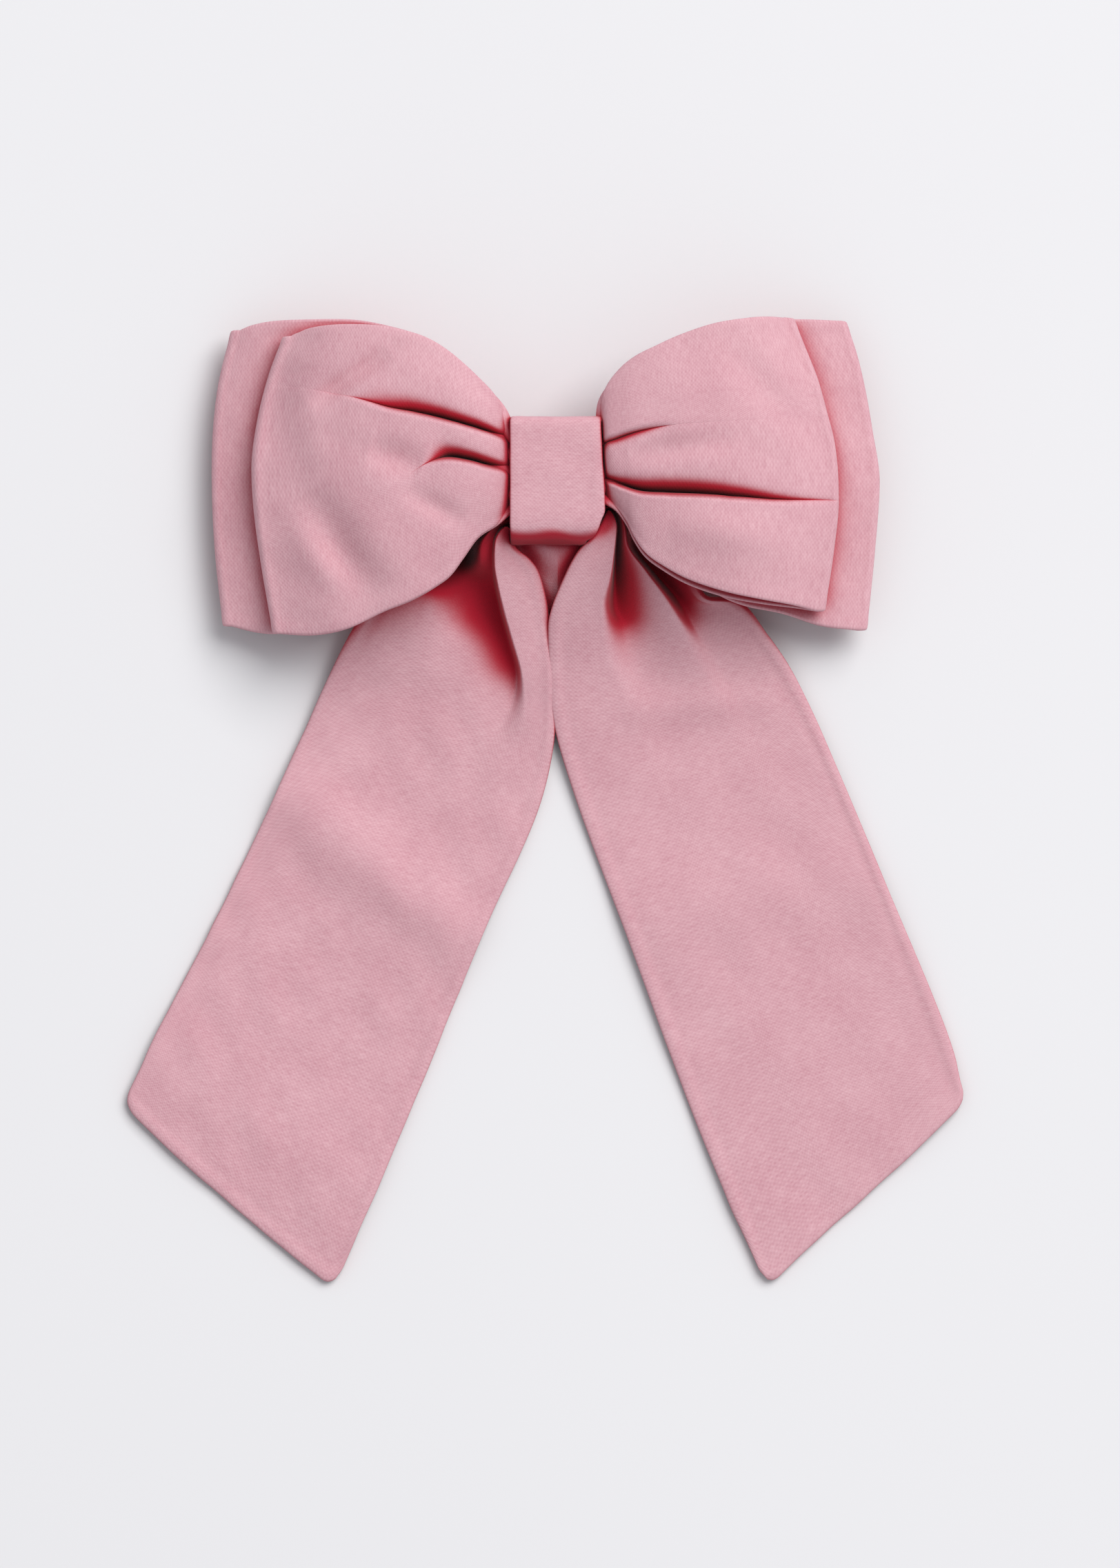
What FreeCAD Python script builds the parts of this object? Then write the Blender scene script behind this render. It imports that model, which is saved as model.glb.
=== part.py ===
"""Long-tailed fabric bow on a sprung steel hair barrette, in millimetres.

The barrette lies on its back. X runs along the clip, +Y points from the tails towards the top of
the bow, and +Z points out of the front of the bow. The origin is on the flat underside of the
clasp arm, under the middle of the centre band.
"""
import FreeCAD, Part
import os
import Sketcher

DRIVING_SIZES = [
    # the metal clip
    ("clip_length", 80.0),
    ("base_width", 8.0),
    ("plate_thickness", 0.9),
    ("base_end_height", 5.0),
    ("base_middle_height", 10.0),
    ("hinge_inset", 3.0),
    ("pin_radius", 0.6),
    ("pin_height", 1.3),
    ("running_clearance", 0.06),
    ("knuckle_radius", 1.3),
    ("knuckle_width", 6.2),
    ("ear_thickness", 0.8),
    ("ear_tip_radius", 1.2),
    ("ear_root_half", 2.4),
    ("arm_width", 9.0),
    ("arm_step", 1.3),
    ("arm_flat_end", 27.0),
    ("arm_slope_length", 3.0),
    ("arm_tip", 42.0),
    ("arm_slot_width", 5.0),
    ("arm_slot_start", -26.0),
    ("arm_slot_end", 22.0),
    ("arm_bridge_half", 4.0),
    ("window_start", 33.0),
    ("window_end", 38.5),
    ("window_width", 5.2),
    ("sewing_hole_radius", 0.7),
    ("sewing_hole_place", 26.0),
    # the sprung bar that presses the hair up against the base
    ("bar_width", 5.0),
    ("bar_thickness", 0.5),
    ("bar_anchor", 32.0),
    ("bar_tab_half", 2.0),
    ("bar_low_place", 2.0),
    ("bar_anchor_height", 5.3),
    ("bar_low_height", 1.6),
    ("bar_free_end", 28.0),
    ("bar_free_height", 3.5),
    # the catch
    ("catch_start", 33.6),
    ("catch_end", 38.4),
    ("catch_thickness", 0.5),
    ("catch_width", 7.0),
    ("catch_rivet_place", 36.0),
    ("rivet_radius", 0.8),
    ("rivet_head_radius", 1.2),
    ("rivet_head_height", 0.35),
    ("bar_rivet_low", 4.75),
    ("bar_rivet_high", 8.35),
    ("catch_rivet_low", 4.7),
    ("catch_rivet_high", 7.5),
    ("finger_start", 34.4),
    ("finger_end", 37.2),
    ("finger_inner", 1.5),
    ("finger_outer", 2.0),
    ("barb_outer", 2.5),
    ("pad_outer", 6.5),
    ("finger_bottom", 0.2),
    ("finger_top", 5.1),
    ("barb_height", 0.9),
    ("pad_root_height", 3.4),
    ("pad_thickness", 0.5),
    # the bow
    ("fabric_thickness", 1.2),
    ("loop_half_width", 31.0),
    ("front_reach_left", 61.6),
    ("front_reach_right", 56.7),
    ("back_reach_left", 69.8),
    ("back_reach_right", 65.1),
    ("waist_half_length", 9.9),
    ("front_waist_half", 10.2),
    ("back_waist_half", 11.0),
    ("tail_waist_half", 8.0),
    ("tail_low", 12.0),
    ("tail_high", 14.0),
    ("back_low", 14.6),
    ("back_high", 17.4),
    ("front_low", 18.0),
    ("front_high", 20.8),
    ("front_peak_place", 33.0),
    ("front_peak_height", 26.5),
    ("front_under_peak", 15.4),
    ("front_fold_height", 10.5),
    ("front_fold_low", 8.2),
    ("back_bend_place", 30.0),
    ("back_bend_high", 15.0),
    ("back_bend_low", 11.2),
    ("back_fold_high", 5.2),
    ("back_fold_height", 3.2),
    ("back_fold_low", 1.0),
    ("fold_depth", 3.0),
    ("tail_drop", 162.0),
    ("tail_spread", 86.0),
    ("tail_landing", 45.0),
    # the centre band, the glue and the threads
    ("band_half_length", 9.5),
    ("band_half_height", 12.9),
    ("band_thickness", 1.0),
    ("band_top", 22.2),
    ("band_underside", 8.6),
    ("band_shoulder", 13.0),
    ("band_corner_radius", 3.0),
    ("band_under_half", 5.4),
    ("glue_half_length", 8.0),
    ("glue_top", 11.7),
    ("thread_thickness", 0.3),
    ("thread_turns_width", 2.0),
    ("stitch_radius", 0.2),
    ("stitch_length", 3.0),
    ("stitch_spacing", 3.0),
    ("stitch_count", 5.0),
]

# Sizes worked out from the driving ones, as spreadsheet formulas
WORKED_OUT_SIZES = [
    ("base_half", "=clip_length / 2"),
    ("base_rise", "=base_middle_height - base_end_height"),
    ("arch_radius", "=(base_half * base_half + base_rise * base_rise) / (2 * base_rise)"),
    ("hinge_place", "=base_half - hinge_inset"),
    ("arm_low_neck", "=hinge_place - 2.2"),
    ("arm_raised_top", "=arm_step + plate_thickness"),
    ("band_inner_half", "=band_half_height - band_thickness"),
    ("band_inner_top", "=band_top - band_thickness"),
    ("band_inner_low", "=band_underside + band_thickness"),
]

doc = FreeCAD.newDocument("bow_barrette")
sizes = doc.addObject("Spreadsheet::Sheet", "sizes")
for row, (alias, value) in enumerate(DRIVING_SIZES + WORKED_OUT_SIZES, start=1):
    sizes.set(f"A{row}", alias)
    sizes.set(f"B{row}", str(value))
    sizes.setAlias(f"B{row}", alias)
doc.recompute()

nodes = []


def size(name):
    """The value of one size, for the few shapes that code sets."""
    return float(getattr(sizes, name))


def arch_height(place):
    """Expression for the height of the base plate's arched underside at an expression in X."""
    radius = "sizes.arch_radius"
    return f"sizes.base_middle_height - {radius} + sqrt({radius}^2 - ({place})^2)"


def as_node(feature, label):
    """Mark a finished object as one sub-part, named by its Label."""
    feature.Label = label
    nodes.append(feature)
    return feature


def new_body(label):
    """A PartDesign body that is one sub-part."""
    return as_node(doc.addObject("PartDesign::Body", label), label)


def new_sketch(body, plane_role, offset="0"):
    """A sketch on one of the body's own origin planes, moved along its normal by an expression."""
    sketch = body.newObject("Sketcher::SketchObject", f"{body.Name}_sketch")
    planes = [item for item in body.Origin.OriginFeatures if item.Role == plane_role]
    sketch.AttachmentSupport = (planes[0], [""])
    sketch.MapMode = "FlatFace"
    sketch.setExpression("AttachmentOffset.Base.z", offset)
    return sketch


def fix_point(sketch, geometry, vertex, place):
    """Tie one vertex of a sketch to a pair of expressions."""
    for kind, expression in zip(("DistanceX", "DistanceY"), place):
        value = float(sketch.evalExpression(expression))
        number = sketch.addConstraint(Sketcher.Constraint(kind, -1, 1, geometry, vertex, value))
        sketch.setExpression(f"Constraints[{number}]", expression)


def as_vector(sketch, place):
    """The point that a pair of expressions gives."""
    return FreeCAD.Vector(*[float(sketch.evalExpression(text)) for text in place], 0)


def draw_outline(sketch, steps):
    """Draw a closed outline.

    A step is (x, y) for a straight edge to that point, or (x, y, via_x, via_y) for an arc to it
    through the via point. Every number is an expression on the sizes sheet.
    """
    previous = steps[-1][:2]
    for step in steps:
        start = as_vector(sketch, previous)
        end = as_vector(sketch, step[:2])
        if len(step) == 2:
            edge = sketch.addGeometry(Part.LineSegment(start, end))
        else:
            via = as_vector(sketch, step[2:])
            edge = sketch.addGeometry(Part.Arc(start, via, end))
        flipped = sketch.getPoint(edge, 1).distanceToPoint(start) > 1e-6
        fix_point(sketch, edge, 2 if flipped else 1, previous)
        fix_point(sketch, edge, 1 if flipped else 2, step[:2])
        if len(step) > 2:
            mark = sketch.addGeometry(Part.Point(via), True)
            fix_point(sketch, mark, 1, step[2:])
            sketch.addConstraint(Sketcher.Constraint("PointOnObject", mark, 1, edge))
        previous = step[:2]


def draw_circle(sketch, centre, radius):
    """Draw a circle from expressions for its centre and radius."""
    value = float(sketch.evalExpression(radius))
    circle = Part.Circle(as_vector(sketch, centre), FreeCAD.Vector(0, 0, 1), value)
    edge = sketch.addGeometry(circle)
    fix_point(sketch, edge, 3, centre)
    number = sketch.addConstraint(Sketcher.Constraint("Radius", edge, value))
    sketch.setExpression(f"Constraints[{number}]", radius)


def draw_rectangle(sketch, low, high):
    """Draw an upright rectangle between two corners."""
    corners = [low, (high[0], low[1]), high, (low[0], high[1])]
    draw_outline(sketch, corners)


def draw_slot(sketch, start, end, half):
    """Draw a round-ended slot along the sketch's own X axis."""
    draw_outline(sketch, [
        (start, f"-({half})", f"{start} - ({half})", "0"),
        (end, f"-({half})"),
        (end, half, f"{end} + {half}", "0"),
        (start, half),
    ])


def pad(body, sketch, length, both_ways=False, backwards=False):
    """Pad a sketch by an expression, forwards, backwards or half each way."""
    feature = body.newObject("PartDesign::Pad", f"{body.Name}_pad")
    feature.Profile = sketch
    feature.setExpression("Length", length)
    feature.SideType = "Symmetric" if both_ways else "One side"
    feature.Reversed = backwards
    doc.recompute()
    return feature


def cut_through(body, sketch):
    """Pocket a sketch right through the body, both ways, and check that it cut something."""
    volume = body.Shape.Volume
    feature = body.newObject("PartDesign::Pocket", f"{body.Name}_pocket")
    feature.Profile = sketch
    feature.Type = "ThroughAll"
    feature.SideType = "Symmetric"
    doc.recompute()
    if not body.Shape.Volume < volume:
        raise RuntimeError(f"{body.Label}: a pocket cut nothing")
    return feature


def mirrored(steps):
    """An outline's steps with X negated."""
    return [tuple(f"-({text})" if place % 2 == 0 else text for place, text in enumerate(step))
            for step in steps]


def mirrored_back(start, steps):
    """The mirror image of a run of steps from a start point, walked from its end to its start."""
    ends = [start] + [step[:2] for step in steps[:-1]]
    return mirrored([end + step[2:] for end, step in zip(reversed(ends), reversed(steps))])


# ---------------------------------------------------------------- the metal clip

def make_base_plate():
    """The arched top plate, with two ears that hold the hinge pin."""
    body = new_body("base_plate")
    profile = new_sketch(body, "XZ_Plane")
    half = "sizes.base_half"
    low = "sizes.base_end_height"
    middle = "sizes.base_middle_height"
    thick = "sizes.plate_thickness"
    draw_outline(profile, [
        (f"-{half}", low),
        (half, low, "0", middle),
        (half, f"{low} + {thick}"),
        (f"-{half}", f"{low} + {thick}", "0", f"{middle} + {thick}"),
    ])
    pad(body, profile, "sizes.base_width", both_ways=True)

    ear = new_sketch(body, "XZ_Plane")
    hinge = "-sizes.hinge_place"
    tip = "sizes.ear_tip_radius"
    root = "sizes.ear_root_half"
    draw_outline(ear, [
        (f"{hinge} - {root}", arch_height(f"{hinge} - {root}") + f" + {thick} / 2"),
        (f"{hinge} - {tip}", "sizes.pin_height"),
        (f"{hinge} + {tip}", "sizes.pin_height", hinge, f"sizes.pin_height - {tip}"),
        (f"{hinge} + {root}", arch_height(f"{hinge} + {root}") + f" + {thick} / 2"),
    ])
    pad(body, ear, "sizes.base_width", both_ways=True)

    between_ears = new_sketch(body, "YZ_Plane")
    gap = "(sizes.base_width / 2 - sizes.ear_thickness)"
    draw_rectangle(between_ears, (f"-{gap}", "0"), (gap, low))
    cut_through(body, between_ears)

    pin_hole = new_sketch(body, "XZ_Plane")
    draw_circle(pin_hole, (hinge, "sizes.pin_height"), "sizes.pin_radius")
    cut_through(body, pin_hole)

    holes = new_sketch(body, "XY_Plane")
    for side in ("-", ""):
        draw_circle(holes, (f"{side}sizes.sewing_hole_place", "0"), "sizes.sewing_hole_radius")
    draw_circle(holes, ("-sizes.bar_anchor", "0"), "sizes.rivet_radius")
    draw_circle(holes, ("sizes.catch_rivet_place", "0"), "sizes.rivet_radius")
    cut_through(body, holes)


def make_hinge_pin():
    """The pin pressed into the ears, on which the clasp arm turns."""
    body = new_body("hinge_pin")
    section = new_sketch(body, "XZ_Plane")
    draw_circle(section, ("-sizes.hinge_place", "sizes.pin_height"), "sizes.pin_radius")
    pad(body, section, "sizes.base_width", both_ways=True)


def make_clasp_arm():
    """The flat lower arm: a knuckle, two slots, a raised end and the catch window."""
    body = new_body("clasp_arm")
    profile = new_sketch(body, "XZ_Plane")
    thick = "sizes.plate_thickness"
    slope_end = "sizes.arm_flat_end + sizes.arm_slope_length"
    draw_outline(profile, [
        ("-sizes.arm_low_neck", "0"),
        ("sizes.arm_flat_end", "0"),
        (slope_end, "sizes.arm_step"),
        ("sizes.arm_tip", "sizes.arm_step"),
        ("sizes.arm_tip", "sizes.arm_raised_top"),
        (f"{slope_end} - {thick} / 2", "sizes.arm_raised_top"),
        (f"sizes.arm_flat_end - {thick} / 2", thick),
        ("-sizes.arm_low_neck", thick),
    ])
    pad(body, profile, "sizes.arm_width", both_ways=True)

    neck = new_sketch(body, "XZ_Plane")
    draw_rectangle(neck, ("-sizes.hinge_place", "0"), ("-sizes.arm_low_neck + 0.5", thick))
    pad(body, neck, "sizes.knuckle_width", both_ways=True)

    knuckle = new_sketch(body, "XZ_Plane")
    draw_circle(knuckle, ("-sizes.hinge_place", "sizes.pin_height"), "sizes.knuckle_radius")
    pad(body, knuckle, "sizes.knuckle_width", both_ways=True)

    bore = new_sketch(body, "XZ_Plane")
    draw_circle(bore, ("-sizes.hinge_place", "sizes.pin_height"),
                "sizes.pin_radius + sizes.running_clearance")
    cut_through(body, bore)

    half_window = "sizes.window_width / 2"
    openings = new_sketch(body, "XY_Plane")
    half_slot = "sizes.arm_slot_width / 2"
    bridge = f"(sizes.arm_bridge_half + {half_slot})"
    draw_slot(openings, "sizes.arm_slot_start", f"-{bridge}", half_slot)
    draw_slot(openings, bridge, "sizes.arm_slot_end", half_slot)
    draw_rectangle(openings, ("sizes.window_start", f"-{half_window}"),
                   ("sizes.window_end", half_window))
    cut_through(body, openings)


def make_rivet(label, place, low, high):
    """A headed rivet on a vertical axis, through the base plate and the piece under it."""
    body = new_body(label)
    head = "sizes.rivet_head_height"
    for radius, bottom, top in (("sizes.rivet_radius", low, high),
                                ("sizes.rivet_head_radius", low, f"{low} + {head}"),
                                ("sizes.rivet_head_radius", f"{high} - {head}", high)):
        section = new_sketch(body, "XY_Plane", bottom)
        draw_circle(section, (place, "0"), radius)
        pad(body, section, f"({top}) - ({bottom})")


def make_tension_bar():
    """The bowed leaf spring, riveted to the base at the hinge end and free at the other."""
    body = new_body("tension_bar")
    profile = new_sketch(body, "XZ_Plane")
    thick = "sizes.bar_thickness"
    tab_start = "-sizes.bar_anchor - sizes.bar_tab_half"
    bow_start = "-sizes.bar_anchor + sizes.bar_tab_half"
    anchor = "sizes.bar_anchor_height"
    lowest = "sizes.bar_low_place"
    low = "sizes.bar_low_height"
    free = "sizes.bar_free_height"
    draw_outline(profile, [
        (tab_start, anchor),
        (bow_start, anchor),
        ("sizes.bar_free_end", free, lowest, low),
        ("sizes.bar_free_end", f"{free} + {thick}"),
        (bow_start, f"{anchor} + {thick}", lowest, f"{low} + {thick}"),
        (tab_start, f"{anchor} + {thick}"),
    ])
    pad(body, profile, "sizes.bar_width", both_ways=True)
    hole = new_sketch(body, "XY_Plane")
    draw_circle(hole, ("-sizes.bar_anchor", "0"), "sizes.rivet_radius + 0.1")
    cut_through(body, hole)


def make_catch_plate():
    """The sprung catch's plate, riveted flat under the free end of the base."""
    body = new_body("catch_plate")
    profile = new_sketch(body, "XZ_Plane")
    ends = ("sizes.catch_start", "sizes.catch_end")
    thick = "sizes.catch_thickness"
    tops = [arch_height(place) for place in ends]
    draw_outline(profile, [
        (ends[0], f"{tops[0]} - {thick}"),
        (ends[1], f"{tops[1]} - {thick}"),
        (ends[1], tops[1]),
        (ends[0], tops[0]),
    ])
    pad(body, profile, "sizes.catch_width", both_ways=True)
    hole = new_sketch(body, "XY_Plane")
    draw_circle(hole, ("sizes.catch_rivet_place", "0"), "sizes.rivet_radius")
    cut_through(body, hole)


def make_catch_finger(label, side):
    """One finger of the catch: a prong with a barb below and a thumb pad flared outwards."""
    body = new_body(label)
    section = new_sketch(body, "YZ_Plane", "sizes.finger_start")
    inner = f"{side}sizes.finger_inner"
    outer = f"{side}sizes.finger_outer"
    pad_end = f"{side}sizes.pad_outer"
    barb_top = "sizes.finger_bottom + sizes.barb_height"
    pad_root = "sizes.pad_root_height"
    pad_rise = "0.4"
    draw_outline(section, [
        (inner, "sizes.finger_top"),
        (inner, "sizes.finger_bottom"),
        (outer, "sizes.finger_bottom"),
        (f"{side}sizes.barb_outer", barb_top),
        (outer, barb_top),
        (outer, pad_root),
        (pad_end, f"{pad_root} + {pad_rise}"),
        (pad_end, f"{pad_root} + {pad_rise} + sizes.pad_thickness"),
        (outer, f"{pad_root} + sizes.pad_thickness"),
        (outer, "sizes.finger_top"),
    ])
    pad(body, section, "sizes.finger_end - sizes.finger_start")


# ---------------------------------------------------------------- the fabric

def loop_plan(spans):
    """The seen outline of a bow loop, from fractions of each lobe's reach and of its half width."""
    steps = []
    for reach, fractions in spans:
        for step in fractions:
            texts = []
            for place, number in enumerate(step):
                unit = reach if place % 2 == 0 else "sizes.loop_half_width"
                texts.append(f"{number} * {unit}")
            steps.append(tuple(texts))
    return steps


def make_loop(label, plan, section, hollows):
    """A flattened ring of ribbon: its X-Z section, cut to its outline seen from the front."""
    body = new_body(label)
    ring = new_sketch(body, "XZ_Plane")
    draw_outline(ring, section)
    for hollow in hollows:
        draw_outline(ring, hollow)
    pad(body, ring, "4 * sizes.loop_half_width", both_ways=True)
    around = new_sketch(body, "XY_Plane")
    draw_rectangle(around, ("-100", "-80"), ("100", "80"))
    draw_outline(around, plan)
    cut_through(body, around)


def front_lobe_outside(reach):
    """The outside of one front lobe's section, from under the waist round to over it."""
    waist = "sizes.waist_half_length"
    peak = "sizes.front_peak_place"
    top = "sizes.front_peak_height"
    fold = "sizes.front_fold_low"
    depth = "sizes.fold_depth"
    return [
        (f"{reach} - {depth}", fold, peak, "sizes.front_under_peak"),
        (reach, "sizes.front_fold_height", f"{reach} - 0.2 * {depth}", f"{fold} + 0.6"),
        (peak, top, f"{reach} - 0.35 * ({reach} - {peak})", f"{top} - 5"),
        (waist, "sizes.front_high", f"0.5 * ({waist} + {peak})", f"{top} - 1.6"),
    ]


def front_lobe_hollow(reach):
    """The hollow of one front lobe, one thickness of fabric inside its outside."""
    peak = "sizes.front_peak_place"
    top = "sizes.front_peak_height"
    fold = "sizes.front_fold_low"
    thick = "sizes.fabric_thickness"
    depth = "sizes.fold_depth"
    start = "1.5 * sizes.waist_half_length"
    return [
        (start, f"sizes.front_low + {thick}"),
        (f"{reach} - {depth} - {thick}", f"{fold} + 1.4 * {thick}", peak,
         f"sizes.front_under_peak + 0.8 * {thick}"),
        (f"{reach} - 1.5 * {thick}", "sizes.front_fold_height + 0.5",
         f"{reach} - 2 * {thick}", f"{fold} + 1.6 * {thick}"),
        (peak, f"{top} - {thick}", f"{reach} - 0.42 * ({reach} - {peak})",
         f"{top} - 4.8 - {thick}"),
        (start, f"sizes.front_high + 0.5 * {thick}",
         f"0.53 * ({start} + {peak}) - 2", f"{top} - 1.5 - {thick}"),
    ]


def make_front_loop():
    """The front loop, two open lobes from one gathered waist."""
    waist = "sizes.waist_half_length"
    half = "sizes.front_waist_half"
    left = "sizes.front_reach_left"
    right = "sizes.front_reach_right"
    plan = [(f"-{waist}", half)]
    plan += loop_plan([(left, [(-0.17, 0.40), (-0.70, 1.0, -0.36, 0.85), (-0.90, 0.92),
                               (-0.93, -0.98, -1.0, 0.05), (-0.70, -0.95)])])
    plan += [(f"-{waist}", f"-{half}", f"-0.42 * {left}", "-0.70 * sizes.loop_half_width")]
    plan += [(waist, f"-{half}")]
    plan += loop_plan([(right, [(0.176, -0.16), (0.81, -0.79, 0.53, -0.61), (0.95, -0.84),
                                (0.84, 1.05, 1.0, -0.10), (0.70, 1.04),
                                (0.176, 0.54, 0.39, 0.90)])])
    plan += [(waist, half)]
    low = "sizes.front_low"
    high = "sizes.front_high"
    start = (waist, low)
    section = [start] + front_lobe_outside(right) + [(f"-{waist}", high)]
    section += mirrored_back(start, front_lobe_outside(left))
    hollows = [front_lobe_hollow(right), mirrored(front_lobe_hollow(left))]
    make_loop("front_loop", plan, section, hollows)


def back_lobe_outside(reach):
    """The outside of one back lobe's section, from under the waist round to over it."""
    waist = "sizes.waist_half_length"
    bend = "sizes.back_bend_place"
    low = "sizes.back_low"
    high = "sizes.back_high"
    depth = "sizes.fold_depth"
    halfway = f"0.5 * ({waist} + {bend})"
    return [
        (bend, "sizes.back_bend_low", halfway,
         f"0.7 * {low} + 0.3 * sizes.back_bend_low"),
        (f"{reach} - {depth}", "sizes.back_fold_low"),
        (reach, "sizes.back_fold_height", f"{reach} - 0.2 * {depth}",
         "sizes.back_fold_low + 0.7"),
        (f"{reach} - {depth}", "sizes.back_fold_high", f"{reach} - 0.25 * {depth}",
         "sizes.back_fold_high - 0.6"),
        (bend, "sizes.back_bend_high"),
        (waist, high, halfway, f"0.7 * {high} + 0.3 * sizes.back_bend_high"),
    ]


def back_lobe_hollow(reach):
    """The thin hollow of one back lobe, one thickness of fabric inside its outside."""
    bend = "sizes.back_bend_place"
    thick = "sizes.fabric_thickness"
    inner = f"{reach} - sizes.fold_depth"
    return [
        (bend, f"sizes.back_bend_low + 1.1 * {thick}"),
        (inner, f"sizes.back_fold_low + {thick}"),
        (inner, f"sizes.back_fold_high - {thick}", f"{inner} + 1.5",
         "sizes.back_fold_height"),
        (bend, f"sizes.back_bend_high - 1.1 * {thick}"),
    ]


def make_back_loop():
    """The wider, flatter loop behind the front one."""
    waist = "sizes.waist_half_length"
    half = "sizes.back_waist_half"
    left = "sizes.back_reach_left"
    right = "sizes.back_reach_right"
    plan = [(f"-{waist}", half)]
    plan += loop_plan([(left, [(-0.64, 1.04, -0.36, 0.87), (-0.85, 1.03), (-0.945, 0.975),
                               (-0.97, -0.92, -1.0, 0.08), (-0.70, -0.93)])])
    plan += [(f"-{waist}", f"-{half}", f"-0.40 * {left}", "-0.72 * sizes.loop_half_width")]
    plan += [(waist, f"-{half}")]
    plan += loop_plan([(right, [(0.70, -0.90, 0.46, -0.71), (0.96, -0.95),
                                (0.90, 1.03, 1.0, -0.08), (0.68, 1.04)])])
    plan += [(waist, half, f"0.40 * {right}", "0.90 * sizes.loop_half_width")]
    start = (waist, "sizes.back_low")
    section = [start] + back_lobe_outside(right) + [(f"-{waist}", "sizes.back_high")]
    section += mirrored_back(start, back_lobe_outside(left))
    hollows = [back_lobe_hollow(right), mirrored(back_lobe_hollow(left))]
    make_loop("back_loop", plan, section, hollows)


def make_tail_ribbon():
    """One ribbon held level by the band at its middle, whose two halves hang down as tails."""
    body = new_body("tail_ribbon")
    side = new_sketch(body, "YZ_Plane")
    low = "sizes.tail_low"
    high = "sizes.tail_high"
    waist = "sizes.tail_waist_half"
    thick = "sizes.fabric_thickness"
    landing = "-sizes.tail_landing"
    drop = "-sizes.tail_drop"
    draw_outline(side, [
        (waist, low),
        (waist, high),
        (f"-{waist}", high),
        ("-17", "11.0", "-12.5", "13.1"),
        (f"{landing} + 8", "3.6"),
        (f"{landing} - 4", thick, f"{landing} + 2", "1.8"),
        (f"{drop} - 4", thick),
        (f"{drop} - 4", "0"),
        (f"{landing} - 4", "0"),
        (f"{landing} + 8", "2.3", f"{landing} + 2", "0.6"),
        ("-17", "9.5"),
        (f"-{waist}", low, "-12.5", "11.3"),
    ])
    pad(body, side, "4 * sizes.tail_spread", both_ways=True)

    drop_size = "sizes.tail_drop"
    spread = "sizes.tail_spread"
    around = new_sketch(body, "XY_Plane")
    draw_rectangle(around, ("-3 * sizes.tail_spread", "-1.2 * sizes.tail_drop"),
                   ("3 * sizes.tail_spread", "2 * sizes.tail_waist_half"))
    draw_outline(around, [
        ("sizes.waist_half_length", waist),
        (f"0.42 * {spread}", f"-0.152 * {drop_size}", f"0.23 * {spread}", f"-0.08 * {drop_size}"),
        (f"0.957 * {spread}", f"-0.762 * {drop_size}", f"0.69 * {spread}", f"-0.392 * {drop_size}"),
        (f"0.90 * {spread}", f"-0.811 * {drop_size}", f"0.955 * {spread}", f"-0.775 * {drop_size}"),
        (f"0.535 * {spread}", f"-0.986 * {drop_size}"),
        (f"0.468 * {spread}", f"-0.994 * {drop_size}", f"0.495 * {spread}", f"-1.0 * {drop_size}"),
        (f"0.109 * {spread}", f"-0.475 * {drop_size}"),
        ("-0.7", f"-0.245 * {drop_size}", f"0.012 * {spread}", f"-0.34 * {drop_size}"),
        ("4.6", "-17"),
        ("10.1", "-13.3"),
        ("10.1", f"-{waist}"),
        ("-10.1", f"-{waist}"),
        ("-10.1", "-13.3"),
        ("-4.9", "-18.3"),
        ("-1.9", f"-0.235 * {drop_size}"),
        (f"-0.131 * {spread}", f"-0.494 * {drop_size}", f"-0.026 * {spread}",
         f"-0.36 * {drop_size}"),
        (f"-0.509 * {spread}", f"-0.99 * {drop_size}"),
        (f"-0.574 * {spread}", f"-0.999 * {drop_size}", f"-0.528 * {spread}",
         f"-1.004 * {drop_size}"),
        (f"-0.985 * {spread}", f"-0.813 * {drop_size}"),
        (f"-0.995 * {spread}", f"-0.75 * {drop_size}", f"-1.022 * {spread}",
         f"-0.779 * {drop_size}"),
        (f"-0.463 * {spread}", f"-0.177 * {drop_size}"),
        ("-sizes.waist_half_length", waist, f"-0.23 * {spread}", f"-0.08 * {drop_size}"),
    ])
    cut_through(body, around)


def make_center_band():
    """The folded band that wraps the gathered waist and the base plate together."""
    body = new_body("center_band")
    section = new_sketch(body, "YZ_Plane")
    outer = "sizes.band_half_height"
    inner = "sizes.band_inner_half"
    top = "sizes.band_top"
    shoulder = "sizes.band_shoulder"
    under = "sizes.band_under_half"
    round_off = "sizes.band_corner_radius"
    corner_cut = f"(1 - sqrt(0.5)) * {round_off}"
    draw_outline(section, [
        (f"-{under}", "sizes.band_underside"),
        (under, "sizes.band_underside"),
        (outer, f"{shoulder} - 0.5"),
        (outer, f"{top} - {round_off}"),
        (f"{outer} - {round_off}", top, f"{outer} - {corner_cut}", f"{top} - {corner_cut}"),
        (f"-{outer} + {round_off}", top),
        (f"-{outer}", f"{top} - {round_off}", f"-{outer} + {corner_cut}",
         f"{top} - {corner_cut}"),
        (f"-{outer}", f"{shoulder} - 0.5"),
    ])
    draw_outline(section, [
        (f"-{under} + 0.4", "sizes.band_inner_low"),
        (f"{under} - 0.4", "sizes.band_inner_low"),
        (inner, shoulder),
        (inner, "sizes.band_inner_top - 1.4"),
        (f"{inner} - 1.3", "sizes.band_inner_top"),
        (f"-{inner} + 1.3", "sizes.band_inner_top"),
        (f"-{inner}", "sizes.band_inner_top - 1.4"),
        (f"-{inner}", shoulder),
    ])
    pad(body, section, "2 * sizes.band_half_length", both_ways=True)


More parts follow.
